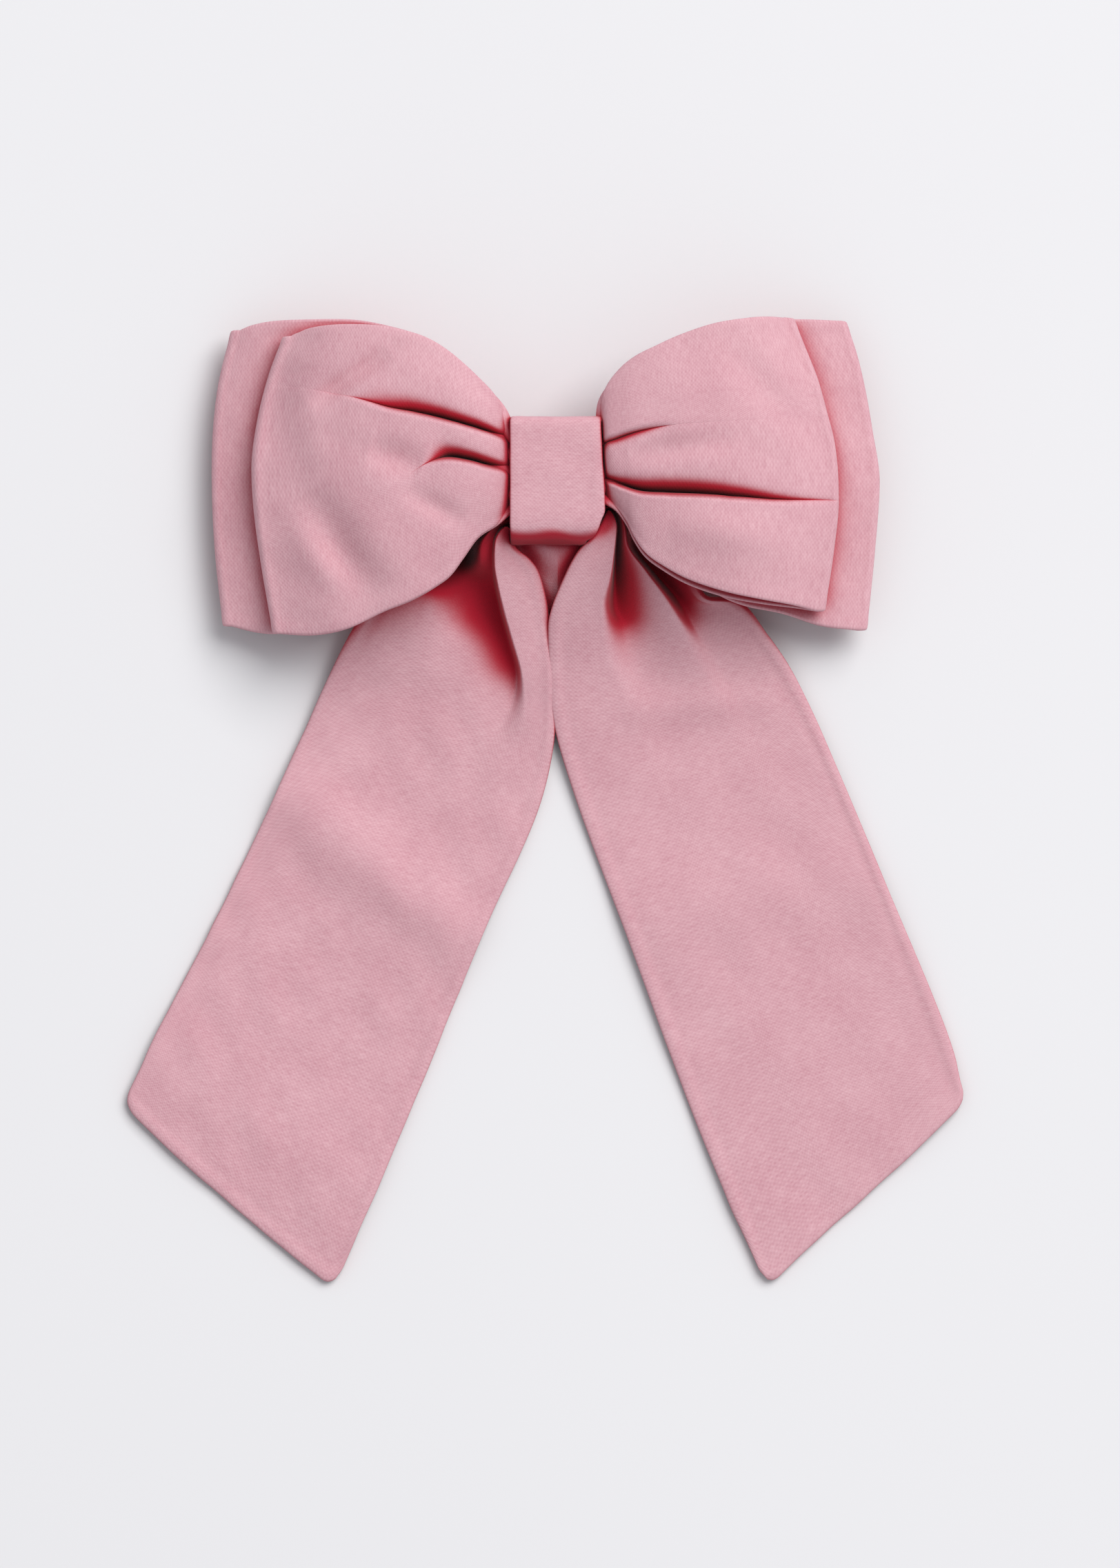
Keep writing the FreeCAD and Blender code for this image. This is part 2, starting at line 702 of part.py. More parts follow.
def make_glue_pad():
    """The pad of set glue between the base plate and the gathered ribbon."""
    body = new_body("glue_pad")
    bottom = "sizes.base_middle_height + sizes.plate_thickness"
    outline = new_sketch(body, "XY_Plane", bottom)
    reach = "sizes.glue_half_length"
    half = "sizes.base_width / 2"
    draw_slot(outline, f"-{reach} + {half}", f"{reach} - {half}", half)
    pad(body, outline, f"sizes.glue_top - ({bottom})")


def make_gathering_thread(label, half, low, high):
    """Turns of thread drawn tight round one gathered waist, as a flat closed ring."""
    body = new_body(label)
    thread = "sizes.thread_thickness"
    section = new_sketch(body, "YZ_Plane")
    draw_rectangle(section, (f"-{half} - {thread}", f"{low} - {thread}"),
                   (f"{half} + {thread}", f"{high} + {thread}"))
    draw_rectangle(section, (f"-{half}", low), (half, high))
    pad(body, section, "sizes.thread_turns_width", both_ways=True)


def make_band_stitches():
    """The hand stitches that close the band under the base plate, one solid each."""
    count = int(size("stitch_count"))
    stitches = []
    for number in range(count):
        stitch = doc.addObject("Part::Cylinder", f"stitch_{number}")
        stitch.setExpression("Radius", "sizes.stitch_radius")
        stitch.setExpression("Height", "sizes.stitch_length")
        stitch.Placement.Rotation = FreeCAD.Rotation(FreeCAD.Vector(1, 0, 0), -90)
        stitch.setExpression("Placement.Base.x",
                             f"({number} - (sizes.stitch_count - 1) / 2) * sizes.stitch_spacing")
        stitch.setExpression("Placement.Base.y", "-sizes.stitch_length / 2")
        stitch.setExpression("Placement.Base.z", "sizes.band_underside - sizes.stitch_radius")
        stitches.append(stitch)
    group = doc.addObject("Part::MultiFuse", "band_stitches")
    group.Shapes = stitches
    as_node(group, "band_stitches")


make_base_plate()
make_hinge_pin()
make_clasp_arm()
make_tension_bar()
make_rivet("bar_rivet", "-sizes.bar_anchor", "sizes.bar_rivet_low", "sizes.bar_rivet_high")
make_catch_plate()
make_rivet("catch_rivet", "sizes.catch_rivet_place", "sizes.catch_rivet_low",
           "sizes.catch_rivet_high")
make_catch_finger("catch_finger_upper", "")
make_catch_finger("catch_finger_lower", "-")
make_front_loop()
make_back_loop()
make_tail_ribbon()
make_center_band()
make_glue_pad()
make_gathering_thread("front_loop_thread", "sizes.front_waist_half", "sizes.front_low",
                      "sizes.front_high")
make_gathering_thread("back_loop_thread", "sizes.back_waist_half", "sizes.back_low",
                      "sizes.back_high")
make_gathering_thread("tail_thread", "sizes.tail_waist_half", "sizes.tail_low",
                      "sizes.tail_high")
make_band_stitches()
doc.recompute()

for item in doc.Objects:
    if "Invalid" in item.State or "Error" in item.State:
        raise RuntimeError(f"{item.Label} did not recompute: {item.State}")
for node in nodes:
    if node.Shape.isNull() or not node.Shape.isValid():
        raise RuntimeError(f"{node.Label} has no valid shape")

os.makedirs("parts", exist_ok=True)
for node in nodes:
    node.Shape.exportStep(f"parts/{node.Label}.step")
    box = node.Shape.BoundBox
    print(f"{node.Label:22s} {node.Shape.Volume:10.1f} mm3  "
          f"x {box.XMin:7.2f} {box.XMax:7.2f}  y {box.YMin:7.2f} {box.YMax:7.2f}  "
          f"z {box.ZMin:6.2f} {box.ZMax:6.2f}")
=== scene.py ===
"""A long-tailed cotton bow on its barrette clip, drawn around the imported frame.

Shapes are worked out in millimetres, in the frame's own axes, and turned into metres when a mesh
is made. The outlines are drawn around a band 19 mm long, and all of them are scaled by how long
the band is in the frame. Every ribbon is a closed doubled sheet: a grid of points for its
outer face, and a second grid one thickness inside it, joined by rounded rims.
"""
import math
import bpy
import numpy as np
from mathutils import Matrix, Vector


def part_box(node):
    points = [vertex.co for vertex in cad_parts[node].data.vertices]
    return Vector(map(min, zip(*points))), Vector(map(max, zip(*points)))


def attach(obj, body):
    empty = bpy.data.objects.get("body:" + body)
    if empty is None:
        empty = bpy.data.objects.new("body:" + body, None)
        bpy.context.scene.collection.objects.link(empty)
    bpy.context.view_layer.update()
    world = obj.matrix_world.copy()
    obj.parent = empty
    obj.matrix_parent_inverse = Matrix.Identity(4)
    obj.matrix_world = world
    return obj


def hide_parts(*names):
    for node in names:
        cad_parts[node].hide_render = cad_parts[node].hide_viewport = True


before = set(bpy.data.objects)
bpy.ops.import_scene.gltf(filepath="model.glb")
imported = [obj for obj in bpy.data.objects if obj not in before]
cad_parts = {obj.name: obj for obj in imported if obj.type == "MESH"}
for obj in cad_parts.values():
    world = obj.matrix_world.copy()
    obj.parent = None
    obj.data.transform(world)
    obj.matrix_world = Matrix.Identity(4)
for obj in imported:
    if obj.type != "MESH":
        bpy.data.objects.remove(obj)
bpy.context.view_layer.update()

MM = 0.001
ROOT = "bow_and_base"

THICKNESS = 1.1          # of a doubled, turned-out ribbon
RIM_STEPS = 4            # points round the rim between the two faces
END_TURNS = (0.5, 1.0, 1.35)     # how far round each extra row that rounds off an open end is
SINES = 6                # sine waves in each soft unevenness
SEAM_RISE = 0.16         # how far a turned-in seam stands proud of the cloth
SEAM_DIP = 0.06          # how far the cloth sinks beside it

DRAWN_BAND = 19          # length of the band that the outlines below are drawn around


def fitted(points):
    """Points scaled by how long the band is in the frame."""
    low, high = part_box("center_band")
    return points * ((high[0] - low[0]) / MM / DRAWN_BAND)


# ---------------------------------------------------------------- curves and meshes

def cubic(part, first, last, leaving, arriving):
    """A cubic from first to last, given how fast it leaves the one and arrives at the other."""
    return (first * (2 * part**3 - 3 * part**2 + 1)
            + last * (3 * part**2 - 2 * part**3)
            + leaving * (part**3 - 2 * part**2 + part)
            + arriving * (part**3 - part**2))


def through(knots, place):
    """A smooth curve through (place, value...) knots, read at an array of places."""
    knots = np.array(knots, float)
    spots = knots[:, 0]
    values = knots[:, 1:]
    secants = np.diff(values, axis=0) / np.diff(spots)[:, None]
    slopes = np.concatenate([secants[:1], secants[:-1], secants[-1:]])
    slopes[1:-1] = (secants[1:] + secants[:-1]) / 2
    turns = secants[1:] * secants[:-1] <= 0
    slopes[1:-1][turns] = 0
    limit = 3 * np.minimum(np.abs(secants[1:]), np.abs(secants[:-1]))
    slopes[1:-1] = np.clip(slopes[1:-1], -limit, limit)
    place = np.clip(np.asarray(place, float), spots[0], spots[-1])
    span = np.clip(np.searchsorted(spots, place, side="right") - 1, 0, len(spots) - 2)
    width = spots[span + 1] - spots[span]
    part = ((place - spots[span]) / width)[..., None]
    width = width[..., None]
    result = cubic(part, values[span], values[span + 1],
                   slopes[span] * width, slopes[span + 1] * width)
    return result[..., 0] if result.shape[-1] == 1 else result


def smooth_step(value, low, high):
    """0 below low, 1 above high, and a smooth rise between them."""
    part = np.clip((value - low) / (high - low), 0, 1)
    return part * part * (3 - 2 * part)


def bell(distance, width):
    """A rounded bump of height 1."""
    return np.exp(-(distance / width) ** 2)


def unit(vectors):
    """The vectors scaled to length 1."""
    return vectors / np.maximum(np.linalg.norm(vectors, axis=-1, keepdims=True), 1e-9)


def blur(grid, passes, ring):
    """Average each point of a grid with its neighbours, a few times over."""
    for _ in range(passes):
        if ring:
            grid = (np.roll(grid, 1, 0) + 2 * grid + np.roll(grid, -1, 0)) / 4
        else:
            padded = np.concatenate([grid[:1], grid, grid[-1:]])
            grid = (padded[:-2] + 2 * grid + padded[2:]) / 4
        padded = np.concatenate([grid[:, :1], grid, grid[:, -1:]], axis=1)
        grid = (padded[:, :-2] + 2 * grid + padded[:, 2:]) / 4
    return grid


def lowest_nearby(heights, reach):
    """The lowest of each height and its neighbours across the ribbon."""
    padded = np.pad(heights, ((0, 0), (reach, reach)), mode="edge")
    columns = heights.shape[1]
    return np.min([padded[:, shift:shift + columns] for shift in range(2 * reach + 1)], axis=0)


def grid_normals(grid, ring):
    """The normal at each point of a grid of points."""
    if ring:
        along = np.roll(grid, -1, 0) - np.roll(grid, 1, 0)
    else:
        along = np.gradient(grid, axis=0)
    return unit(np.cross(along, np.gradient(grid, axis=1)))


def wavy(grid, size, seed, amount):
    """Soft seeded unevenness, as sums of sine waves across the plan of a grid."""
    draws = np.random.default_rng(seed)
    total = np.zeros(grid.shape[:2])
    for _ in range(SINES):
        turn = draws.uniform(0, 2 * math.pi)
        step = 2 * math.pi / (size * draws.uniform(0.7, 1.6))
        across = grid[..., 0] * math.cos(turn) + grid[..., 1] * math.sin(turn)
        total += np.sin(across * step + draws.uniform(0, 2 * math.pi))
    return amount * total / 3


def make_mesh(name, points, faces, spots):
    """A mesh object from points in millimetres, with ribbon coordinates as its UV map."""
    mesh = bpy.data.meshes.new(name)
    mesh.from_pydata((np.asarray(points) * MM).tolist(), [], faces)
    layer = mesh.uv_layers.new(name="ribbon")
    corners = np.empty(len(mesh.loops), int)
    mesh.loops.foreach_get("vertex_index", corners)
    layer.data.foreach_set("uv", np.asarray(spots)[corners].ravel())
    mesh.polygons.foreach_set("use_smooth", [True] * len(mesh.polygons))
    mesh.update()
    piece = bpy.data.objects.new(name, mesh)
    bpy.context.scene.collection.objects.link(piece)
    return piece


def rounded_ends(section, flat):
    """A sheet's points and spots with rows added beyond both ends, so that its ends are round."""
    for end, towards in ((0, 1), (-1, -2)):
        out = unit(section[end] - section[towards])
        centre = (section[end] + np.roll(section[end][::-1], -RIM_STEPS, 0)) / 2
        reach = section[end] - centre
        radius = np.linalg.norm(reach, axis=-1, keepdims=True)
        extra = [centre + reach * math.cos(turn) + out * radius * math.sin(turn)
                 for turn in END_TURNS]
        copies = np.repeat(flat[end][None], len(END_TURNS), 0)
        if end == 0:
            section = np.concatenate([np.stack(extra[::-1]), section])
            flat = np.concatenate([copies, flat])
        else:
            section = np.concatenate([section, np.stack(extra)])
            flat = np.concatenate([flat, copies])
    return section, flat


def sheet_faces(rows, around, ring):
    """The faces of a tube of points, with both ends shut if it is not a ring."""
    index = np.arange(rows * around).reshape(rows, around)
    below = np.roll(index, -1, 0) if ring else index[1:]
    here = index if ring else index[:-1]
    quads = np.stack([here, below, np.roll(below, -1, 1), np.roll(here, -1, 1)], -1)
    faces = quads.reshape(-1, 4).tolist()
    if ring:
        return faces
    for row, flip in ((0, False), (rows - 1, True)):
        line = index[row]
        mirror = np.roll(line[::-1], -RIM_STEPS)
        for place in range(around):
            follow = (place + 1) % around
            quad = [line[place], line[follow], mirror[follow], mirror[place]]
            if len(set(quad)) < 3 or quad[0] > quad[3]:
                continue
            clean = list(dict.fromkeys(int(corner) for corner in quad))
            faces.append(clean[::-1] if flip else clean)
    return faces


def doubled_sheet(name, outer, inner, spots, ring, open_to_light):
    """Close two matching grids into one sheet, with rounded rims, and round ends if not a ring.

    Each point keeps how open it is to the light, which the cotton's colour is worked out from.
    """
    middle = (outer + inner) / 2
    half = (outer - inner) / 2
    angles = np.linspace(0, math.pi, RIM_STEPS + 2)[1:-1]

    def rim(column, towards):
        out = unit(middle[:, column] - middle[:, towards])
        radius = np.linalg.norm(half[:, column], axis=-1, keepdims=True)
        return [middle[:, column] + half[:, column] * math.cos(angle)
                + out * radius * math.sin(angle) for angle in angles]

    def loops(top, bottom, high_rim, low_rim):
        return np.concatenate([top, np.stack(high_rim, 1), bottom[:, ::-1],
                               np.stack(low_rim[::-1], 1)], axis=1)

    section = loops(outer, inner, rim(-1, -2), rim(0, 1))
    spots = np.concatenate([spots, open_to_light[..., None]], axis=-1)
    flat = loops(spots, spots, [spots[:, -1]] * RIM_STEPS, [spots[:, 0]] * RIM_STEPS)
    if not ring:
        section, flat = rounded_ends(section, flat)
    faces = sheet_faces(*section.shape[:2], ring)
    flat = flat.reshape(-1, 3)
    piece = make_mesh(name, section.reshape(-1, 3), faces, flat[:, :2])
    light = piece.data.attributes.new("open_to_light", "FLOAT", "POINT")
    light.data.foreach_set("value", flat[:, 2].astype(np.float32))
    return piece


def seam_ridge(distance):
    """How far the turned-in seam stands proud, by distance from the ribbon's edge."""
    return SEAM_RISE * bell(distance - 1.0, 0.8) - SEAM_DIP * bell(distance - 3.0, 1.1)


def ribbon_coordinates(grid):
    """Distance along and across a grid of points, in hundredths of a metre."""
    along = np.linalg.norm(np.diff(grid, axis=0), axis=-1).mean(axis=1)
    across = np.linalg.norm(np.diff(grid, axis=1), axis=-1).mean(axis=0)
    along = np.concatenate([[0], np.cumsum(along)])
    across = np.concatenate([[0], np.cumsum(across)])
    return np.stack(np.meshgrid(along, across, indexing="ij"), -1) / 10


# ---------------------------------------------------------------- the loops

LOOP_HALF = 31.0         # half the ribbon's width in the loops
CREASE_SLOTS = (0.30, 0.50, 0.75)
COLUMNS = 170
CREASE_CROWDING = 6      # how much denser the columns are at a crease
EDGE_CROWDING = 3        # how much denser they are at the ribbon's edges
CROSSING_STEPS = 401     # steps across the ribbon when looking for where a crease crosses a row
CROSSING_MARGIN = 8      # steps that a crease keeps from the ribbon's edges
PANEL_ROWS = 110
SOFTENING = 6            # times that the creases' ways across the ribbon are smoothed
WALL_WIDTH = 1.3         # of a crease's steep side
OVERHANG = 0.35          # how far a crease's steep side leans over it
CREASE_SHADE = 0.42      # the share of the light that the deepest crease loses
GATHERS = 4.5            # pleats across the ribbon where the thread gathers it
WAIST_REACH = 6          # how far the waist's rows stand to each side of the middle
FRONT_WAIST = (18.6, 19.9, 9.0)      # height of its lower and upper panel, and half its length
BACK_WAIST = (15.0, 17.0, 10.8)


def column_places():
    """Places across the ribbon from 0 to 1, closer together beside the creases."""
    fine = np.linspace(0, 1, 4001)
    density = 1 + sum(CREASE_CROWDING * bell(fine - slot, 0.02) for slot in CREASE_SLOTS)
    density += EDGE_CROWDING * bell(fine, 0.03) + EDGE_CROWDING * bell(fine - 1, 0.03)
    total = np.cumsum(density)
    total = (total - total[0]) / (total[-1] - total[0])
    return np.interp(np.linspace(0, 1, COLUMNS), total, fine)


def panel_plan(lobe, along, across, spread):
    """Plan points of a panel: rows between its two contours, bowed out towards the fold."""
    lower = through(lobe["lower"], along)[:, None]
    upper = through(lobe["upper"], along)[:, None]
    lower = lower - np.array([0, spread[0]]) * np.sin(along * math.pi)[:, None, None]
    upper = upper - np.array([0, spread[1]]) * np.sin(along * math.pi)[:, None, None]
    plan = lower + across[..., None] * (upper - lower)
    ends = lobe["lower"][-1][1] + across * (lobe["upper"][-1][1] - lobe["lower"][-1][1])
    bow = through(lobe["edge"], across) - lobe["fold_radius"] - ends
    plan[..., 0] += bow * (along ** 2)[:, None]
    return plan


def crossing_place(lobe, along, crease):
    """For each row, how far across it the crease runs."""
    fine = np.linspace(0, 1, CROSSING_STEPS)
    plan = panel_plan(lobe, along, np.repeat(fine[None, :], len(along), 0), (0, 0))
    route = np.array(crease["route"], float)
    above = plan[..., 1] - through(route[:, :2], plan[..., 0])
    first = np.argmax(above > 0, axis=1)
    return fine[np.clip(first, CROSSING_MARGIN, CROSSING_STEPS - 1 - CROSSING_MARGIN)]


def across_places(lobe, columns, along):
    """For each row and column, the fraction of the way across, with creases on their columns."""
    knots = [np.zeros_like(along)]
    for slot in CREASE_SLOTS:
        owners = [crease for crease in lobe["creases"] if crease["slot"] == slot]
        knots.append(crossing_place(lobe, along, owners[0]) if owners else np.full_like(along, slot))
    knots.append(np.ones_like(along))
    knots = np.stack(knots, 1)
    slots = np.array([0, *CREASE_SLOTS, 1])
    places = np.stack([np.interp(columns, slots, row) for row in knots])
    for _ in range(SOFTENING):
        places[1:-1] = (places[:-2] + 2 * places[1:-1] + places[2:]) / 4
    return places


def roll(distance, width):
    """The drop of a rounded shoulder: 1 at its foot, 0 one width away."""
    part = np.clip(1 - distance / width, 0, 1)
    return 1 - np.sqrt(np.maximum(1 - part ** 2, 0))


def lay_creases(points, creases):
    """Roll the cloth down into each crease, broadly on one side and tightly on the other.

    The result says how open each point is left to the light.
    """
    light = np.ones(points.shape[:2])
    for crease in creases:
        route = np.array(crease["route"], float)
        column = np.argmin(np.abs(column_places() - crease["slot"]))
        line = points[:, column, 0]
        depth = np.maximum(through(route[:, [0, 2]], line), 0)[:, None]
        width = through(route[:, [0, 3]], line)[:, None]
        side = crease["flank"]
        distance = (points[..., 1] - points[:, column:column + 1, 1]) * side
        flank = 0.6 * roll(distance, width) + 0.4 * np.exp(-np.maximum(distance, 0) / width)
        wall = roll(-distance, WALL_WIDTH)
        points[..., 2] -= depth * np.where(distance >= 0, flank, wall)
        over = np.minimum(depth / 4, 1) * np.where(distance < 0, wall, 0)
        points[..., 1] += side * OVERHANG * over * (1 - over)
        shut = CREASE_SHADE * np.minimum(depth / 5, 1) * bell(distance, 0.62 * width)
        light -= np.where(distance >= 0, shut, 0)
    return np.clip(light, 0.1, 1)


def lay_dents(points, dents):
    """Press long soft valleys, or raise ridges, between two plan points."""
    for start, end, depth, width in dents:
        start = np.array(start, float)
        run = np.array(end, float) - start
        offset = points[..., :2] - start
        part = np.clip((offset @ run) / (run @ run), 0, 1)
        gap = np.linalg.norm(offset - part[..., None] * run, axis=-1)
        taper = np.sin(np.clip(part, 0.02, 0.98) * math.pi) ** 0.5
        points[..., 2] -= depth * taper * bell(gap, width)


def shape_lobe(lobe):
    """The rows of one lobe: out along the front panel, round the fold and back behind."""
    columns = column_places()
    along = np.linspace(0, 1, PANEL_ROWS) ** 1.2
    across = across_places(lobe, columns, along)
    mirror = np.array([lobe["side"], 1, 1])

    front = np.empty(across.shape + (3,))
    front[..., :2] = panel_plan(lobe, along, across, (0, 0))
    front[..., 2] = through(lobe["front_height"], along)[:, None]
    crown = through(lobe["crown"], along)[:, None]
    front[..., 2] -= crown * np.abs(2 * across - 1) ** 2.4
    light = lay_creases(front, lobe["creases"])
    front *= mirror
    lay_dents(front, lobe["dents"])
    front[..., 2] += wavy(front, 26, lobe["seed"], 0.35) + wavy(front, 9, lobe["seed"] + 1, 0.08)

    behind = np.repeat(across[-1:], len(along), 0)
    back = np.empty(across.shape + (3,))
    back[..., :2] = panel_plan(lobe, along, behind, lobe["back_spread"])
    back[..., 2] = through(lobe["back_height"], along)[:, None]
    pleats = np.cos(behind * 2 * math.pi * GATHERS)
    back[..., 2] += 0.7 * pleats * (1 - smooth_step(along, 0.05, 0.5))[:, None]
    back *= mirror
    back[..., 2] += wavy(back, 22, lobe["seed"] + 2, 0.3)

    centre = (front[-1] + back[-1]) / 2
    reach = (front[-1] - back[-1]) / 2
    out = np.array([lobe["side"] * lobe["fold_radius"], 0, 0])
    turns = np.linspace(0, math.pi, 15)[1:-1]
    fold = np.stack([centre + reach * math.cos(turn) + out * math.sin(turn) for turn in turns])
    rows = np.concatenate([front, fold, back[::-1]])
    light = np.concatenate([light, np.ones((len(fold) + len(back), light.shape[1]))])
    return rows, light


def loop_piece(name, left, right, waist_low, waist_high, waist_half):
    """One flattened ring of doubled ribbon with a gathered waist."""
    right_rows, right_light = shape_lobe(right)
    left_rows, left_light = shape_lobe(left)
    columns = column_places()
    half = waist_half * (2 * columns - 1)
    gathers = 0.5 * np.cos(columns * 2 * math.pi * GATHERS)

    def waist(height, order):
        return np.stack([np.stack([np.full_like(half, place), half, height + gathers], -1)
                         for place in order])

    under = waist(waist_low, (WAIST_REACH, 0, -WAIST_REACH))
    over = waist(waist_high, (-WAIST_REACH, 0, WAIST_REACH))
    ring = fitted(np.concatenate([right_rows, under, left_rows[::-1], over]))
    hidden = np.ones(under.shape[:2])
    light = np.concatenate([right_light, hidden, left_light[::-1], hidden])
    normals = blur(grid_normals(ring, True), 3, True)
    edge = np.minimum(columns, 1 - columns) * 2 * LOOP_HALF
    outer = ring + normals * (0.3 * seam_ridge(edge))[None, :, None]
    lowest = lowest_nearby(outer[..., 2], 9)
    drop = blur((outer[..., 2] - lowest)[..., None], 4, True)[..., 0] * (normals[..., 2] > 0.3)
    inner = outer - unit(normals) * THICKNESS
    inner[..., 2] -= np.minimum(drop, 5)
    return doubled_sheet(name, outer, inner, ribbon_coordinates(ring), True, light)


# Contours are (place, x, y) from the waist to the fold, with x measured outwards; an edge is
# (place across, x) along the fold; a crease's route is (x, y, depth, width of its broad side).
FRONT_LEFT = {
    "side": -1, "fold_radius": 1.6, "seed": 11, "back_spread": (0, 1),
    "lower": [(0, 9.4, -6.4), (0.06, 12, -8.6), (0.14, 16, -11.3), (0.20, 18.7, -15),
              (0.26, 21.3, -18.5), (0.33, 24, -20.6), (0.45, 29.3, -23.6), (0.56, 34.7, -25.7),
              (0.72, 43, -29.4), (0.87, 50.9, -30.6), (1, 56.5, -30.3)],
    "upper": [(0, 9.4, 10.5), (0.04, 11.3, 15.1), (0.13, 16, 20.6), (0.28, 24, 27),
              (0.48, 33.5, 30.2), (0.68, 43, 30.9), (0.87, 51, 30.2), (1, 54.8, 28.7)],
    "edge": [(0, 57.4), (0.07, 58.1), (0.23, 59.7), (0.42, 61.2), (0.555, 61.6),
             (0.716, 60.5), (0.878, 58.1), (1, 55.4)],
    "crown": [(0, 2.0), (0.15, 3.2), (0.45, 3.0), (0.75, 1.8), (1, 0.5)],
    "front_height": [(0, 20.6), (0.04, 22.6), (0.12, 24.9), (0.35, 26.2), (0.55, 25.2),
                     (0.75, 21.8), (0.9, 17.8), (0.97, 16.5), (1, 16.2)],
    "back_height": [(0, 18.8), (0.2, 18.4), (0.5, 16.6), (0.8, 13.6), (1, 12.2)],
    "creases": [
        {"slot": 0.75, "flank": 1, "route": [
            (9.4, 8.1, 2.8, 1.8), (16.3, 10.4, 5.0, 2.6), (23, 12.3, 5.2, 3.4),
            (29.2, 13.7, 4.4, 4.4), (33.8, 14.5, 3.0, 5.4), (38.2, 15.8, 1.4, 6.0),
            (43, 17, 0.3, 6.0), (61.6, 20, 0, 6.0)]},
        {"slot": 0.50, "flank": 1, "route": [
            (9.4, 1.9, 3.2, 1.8), (13.7, 2.9, 5.4, 2.3), (18.9, 4.2, 6.0, 2.8),
            (22.0, 4.6, 5.2, 3.4), (23.6, 4.3, 3.2, 4.6), (25.4, 3.6, 1.2, 5.4),
            (28, 2.2, 0.3, 5.6), (33, -1, 0, 5.6), (61.6, -8, 0, 5.6)]},
    ],
    "dents": [((-33.5, 26), (-50, 14.5), 1.5, 2.2), ((-51, -2), (-36, -25), 2.0, 4.2),
              ((-31, -2), (-18, -9), 1.0, 2.4), ((-27, 3), (-38, 6), 1.6, 3.2),
              ((-52, 22), (-47, 2), -0.9, 4.0), ((-54, -8), (-44, -22), -0.8, 3.0)],
}
FRONT_RIGHT = {
    "side": 1, "fold_radius": 1.6, "seed": 31, "back_spread": (1.0, 1),
    "lower": [(0, 9.2, -4.2), (0.07, 12, -5.8), (0.11, 13.8, -8.2), (0.16, 15.2, -11),
              (0.22, 17.5, -14.2), (0.30, 21.5, -17), (0.40, 26.3, -19.5), (0.53, 33.6, -21.9),
              (0.68, 41, -23.4), (0.84, 48, -24.6), (1, 53, -25.8)],
    "upper": [(0, 9.2, 9), (0.04, 8.7, 13), (0.08, 9.2, 17.4), (0.14, 12.5, 22.2),
              (0.28, 20.5, 27), (0.46, 30, 30.6), (0.66, 38.5, 32.1), (0.85, 44.5, 32.5),
              (1, 47, 32.4)],
    "edge": [(0, 53.9), (0.21, 55.7), (0.375, 56.6), (0.573, 55.8), (0.684, 54.2),
             (0.80, 52.3), (0.90, 50.0), (1, 47.7)],
    "crown": [(0, 2.0), (0.15, 3.4), (0.45, 3.0), (0.75, 1.6), (1, 0.5)],
    "front_height": [(0, 20.6), (0.04, 22.6), (0.12, 24.9), (0.35, 26.2), (0.55, 25.4),
                     (0.75, 22.4), (0.9, 18.6), (0.97, 17.2), (1, 16.8)],
    "back_height": [(0, 18.8), (0.2, 18.4), (0.5, 16.8), (0.8, 14.2), (1, 13.0)],
    "creases": [
        {"slot": 0.30, "flank": 1, "route": [
            (9.2, 0.4, 2.6, 1.0), (12.5, -0.9, 4.6, 2.2), (16.3, -2.1, 5.8, 3.4),
            (23, -2.6, 6.4, 4.0), (30, -2.9, 6.0, 3.8), (39.5, -3.7, 4.0, 3.0),
            (45.9, -4, 2.0, 2.2), (52, -4, 0.8, 1.6), (56.6, -4, 0.2, 1.2)]},
        {"slot": 0.50, "flank": -1, "route": [
            (9.2, 7.3, 2.2, 1.8), (12.9, 8.7, 2.4, 2.3), (16.4, 9.8, 1.9, 2.6),
            (20.4, 10.6, 0.9, 2.6), (24, 11, 0.1, 2.6), (56.6, 13, 0, 2.6)]},
    ],
    "dents": [((14, 4.8), (36, 8), 1.0, 2.6), ((34, 27), (51, 8), 1.1, 3.6),
              ((22, -9), (44, -12), -0.9, 4.0)],
}
BACK_LEFT = {
    "side": -1, "fold_radius": 1.8, "seed": 51, "back_spread": (0, 1),
    "lower": [(0, 9.4, -4), (0.105, 16, -9), (0.2, 21.5, -15.5), (0.33, 29, -21),
              (0.43, 34.9, -23.6), (0.57, 43, -27.3), (0.71, 51, -28.8), (0.83, 57.5, -30.2),
              (0.93, 62.1, -29.8), (1, 66.8, -28.7)],
    "upper": [(0, 9.4, 10), (0.2, 20, 24), (0.28, 25.6, 27.8), (0.42, 33.5, 30.6),
              (0.62, 44.6, 32.2), (0.84, 57.9, 31.9), (0.95, 63.5, 30.9), (1, 65.4, 30.1)],
    "edge": [(0, 67.6), (0.257, 69.2), (0.527, 69.8), (0.80, 68.7), (1, 66)],
    "crown": [(0, 1.5), (0.5, 1.5), (1, 0.4)],
    "front_height": [(0, 17.2), (0.2, 16.8), (0.43, 15.2), (0.7, 12.6), (0.88, 10.4), (1, 8.4)],
    "back_height": [(0, 15.0), (0.25, 13.4), (0.5, 10.4), (0.75, 7.4), (1, 5.2)],
    "creases": [], "dents": [],
}
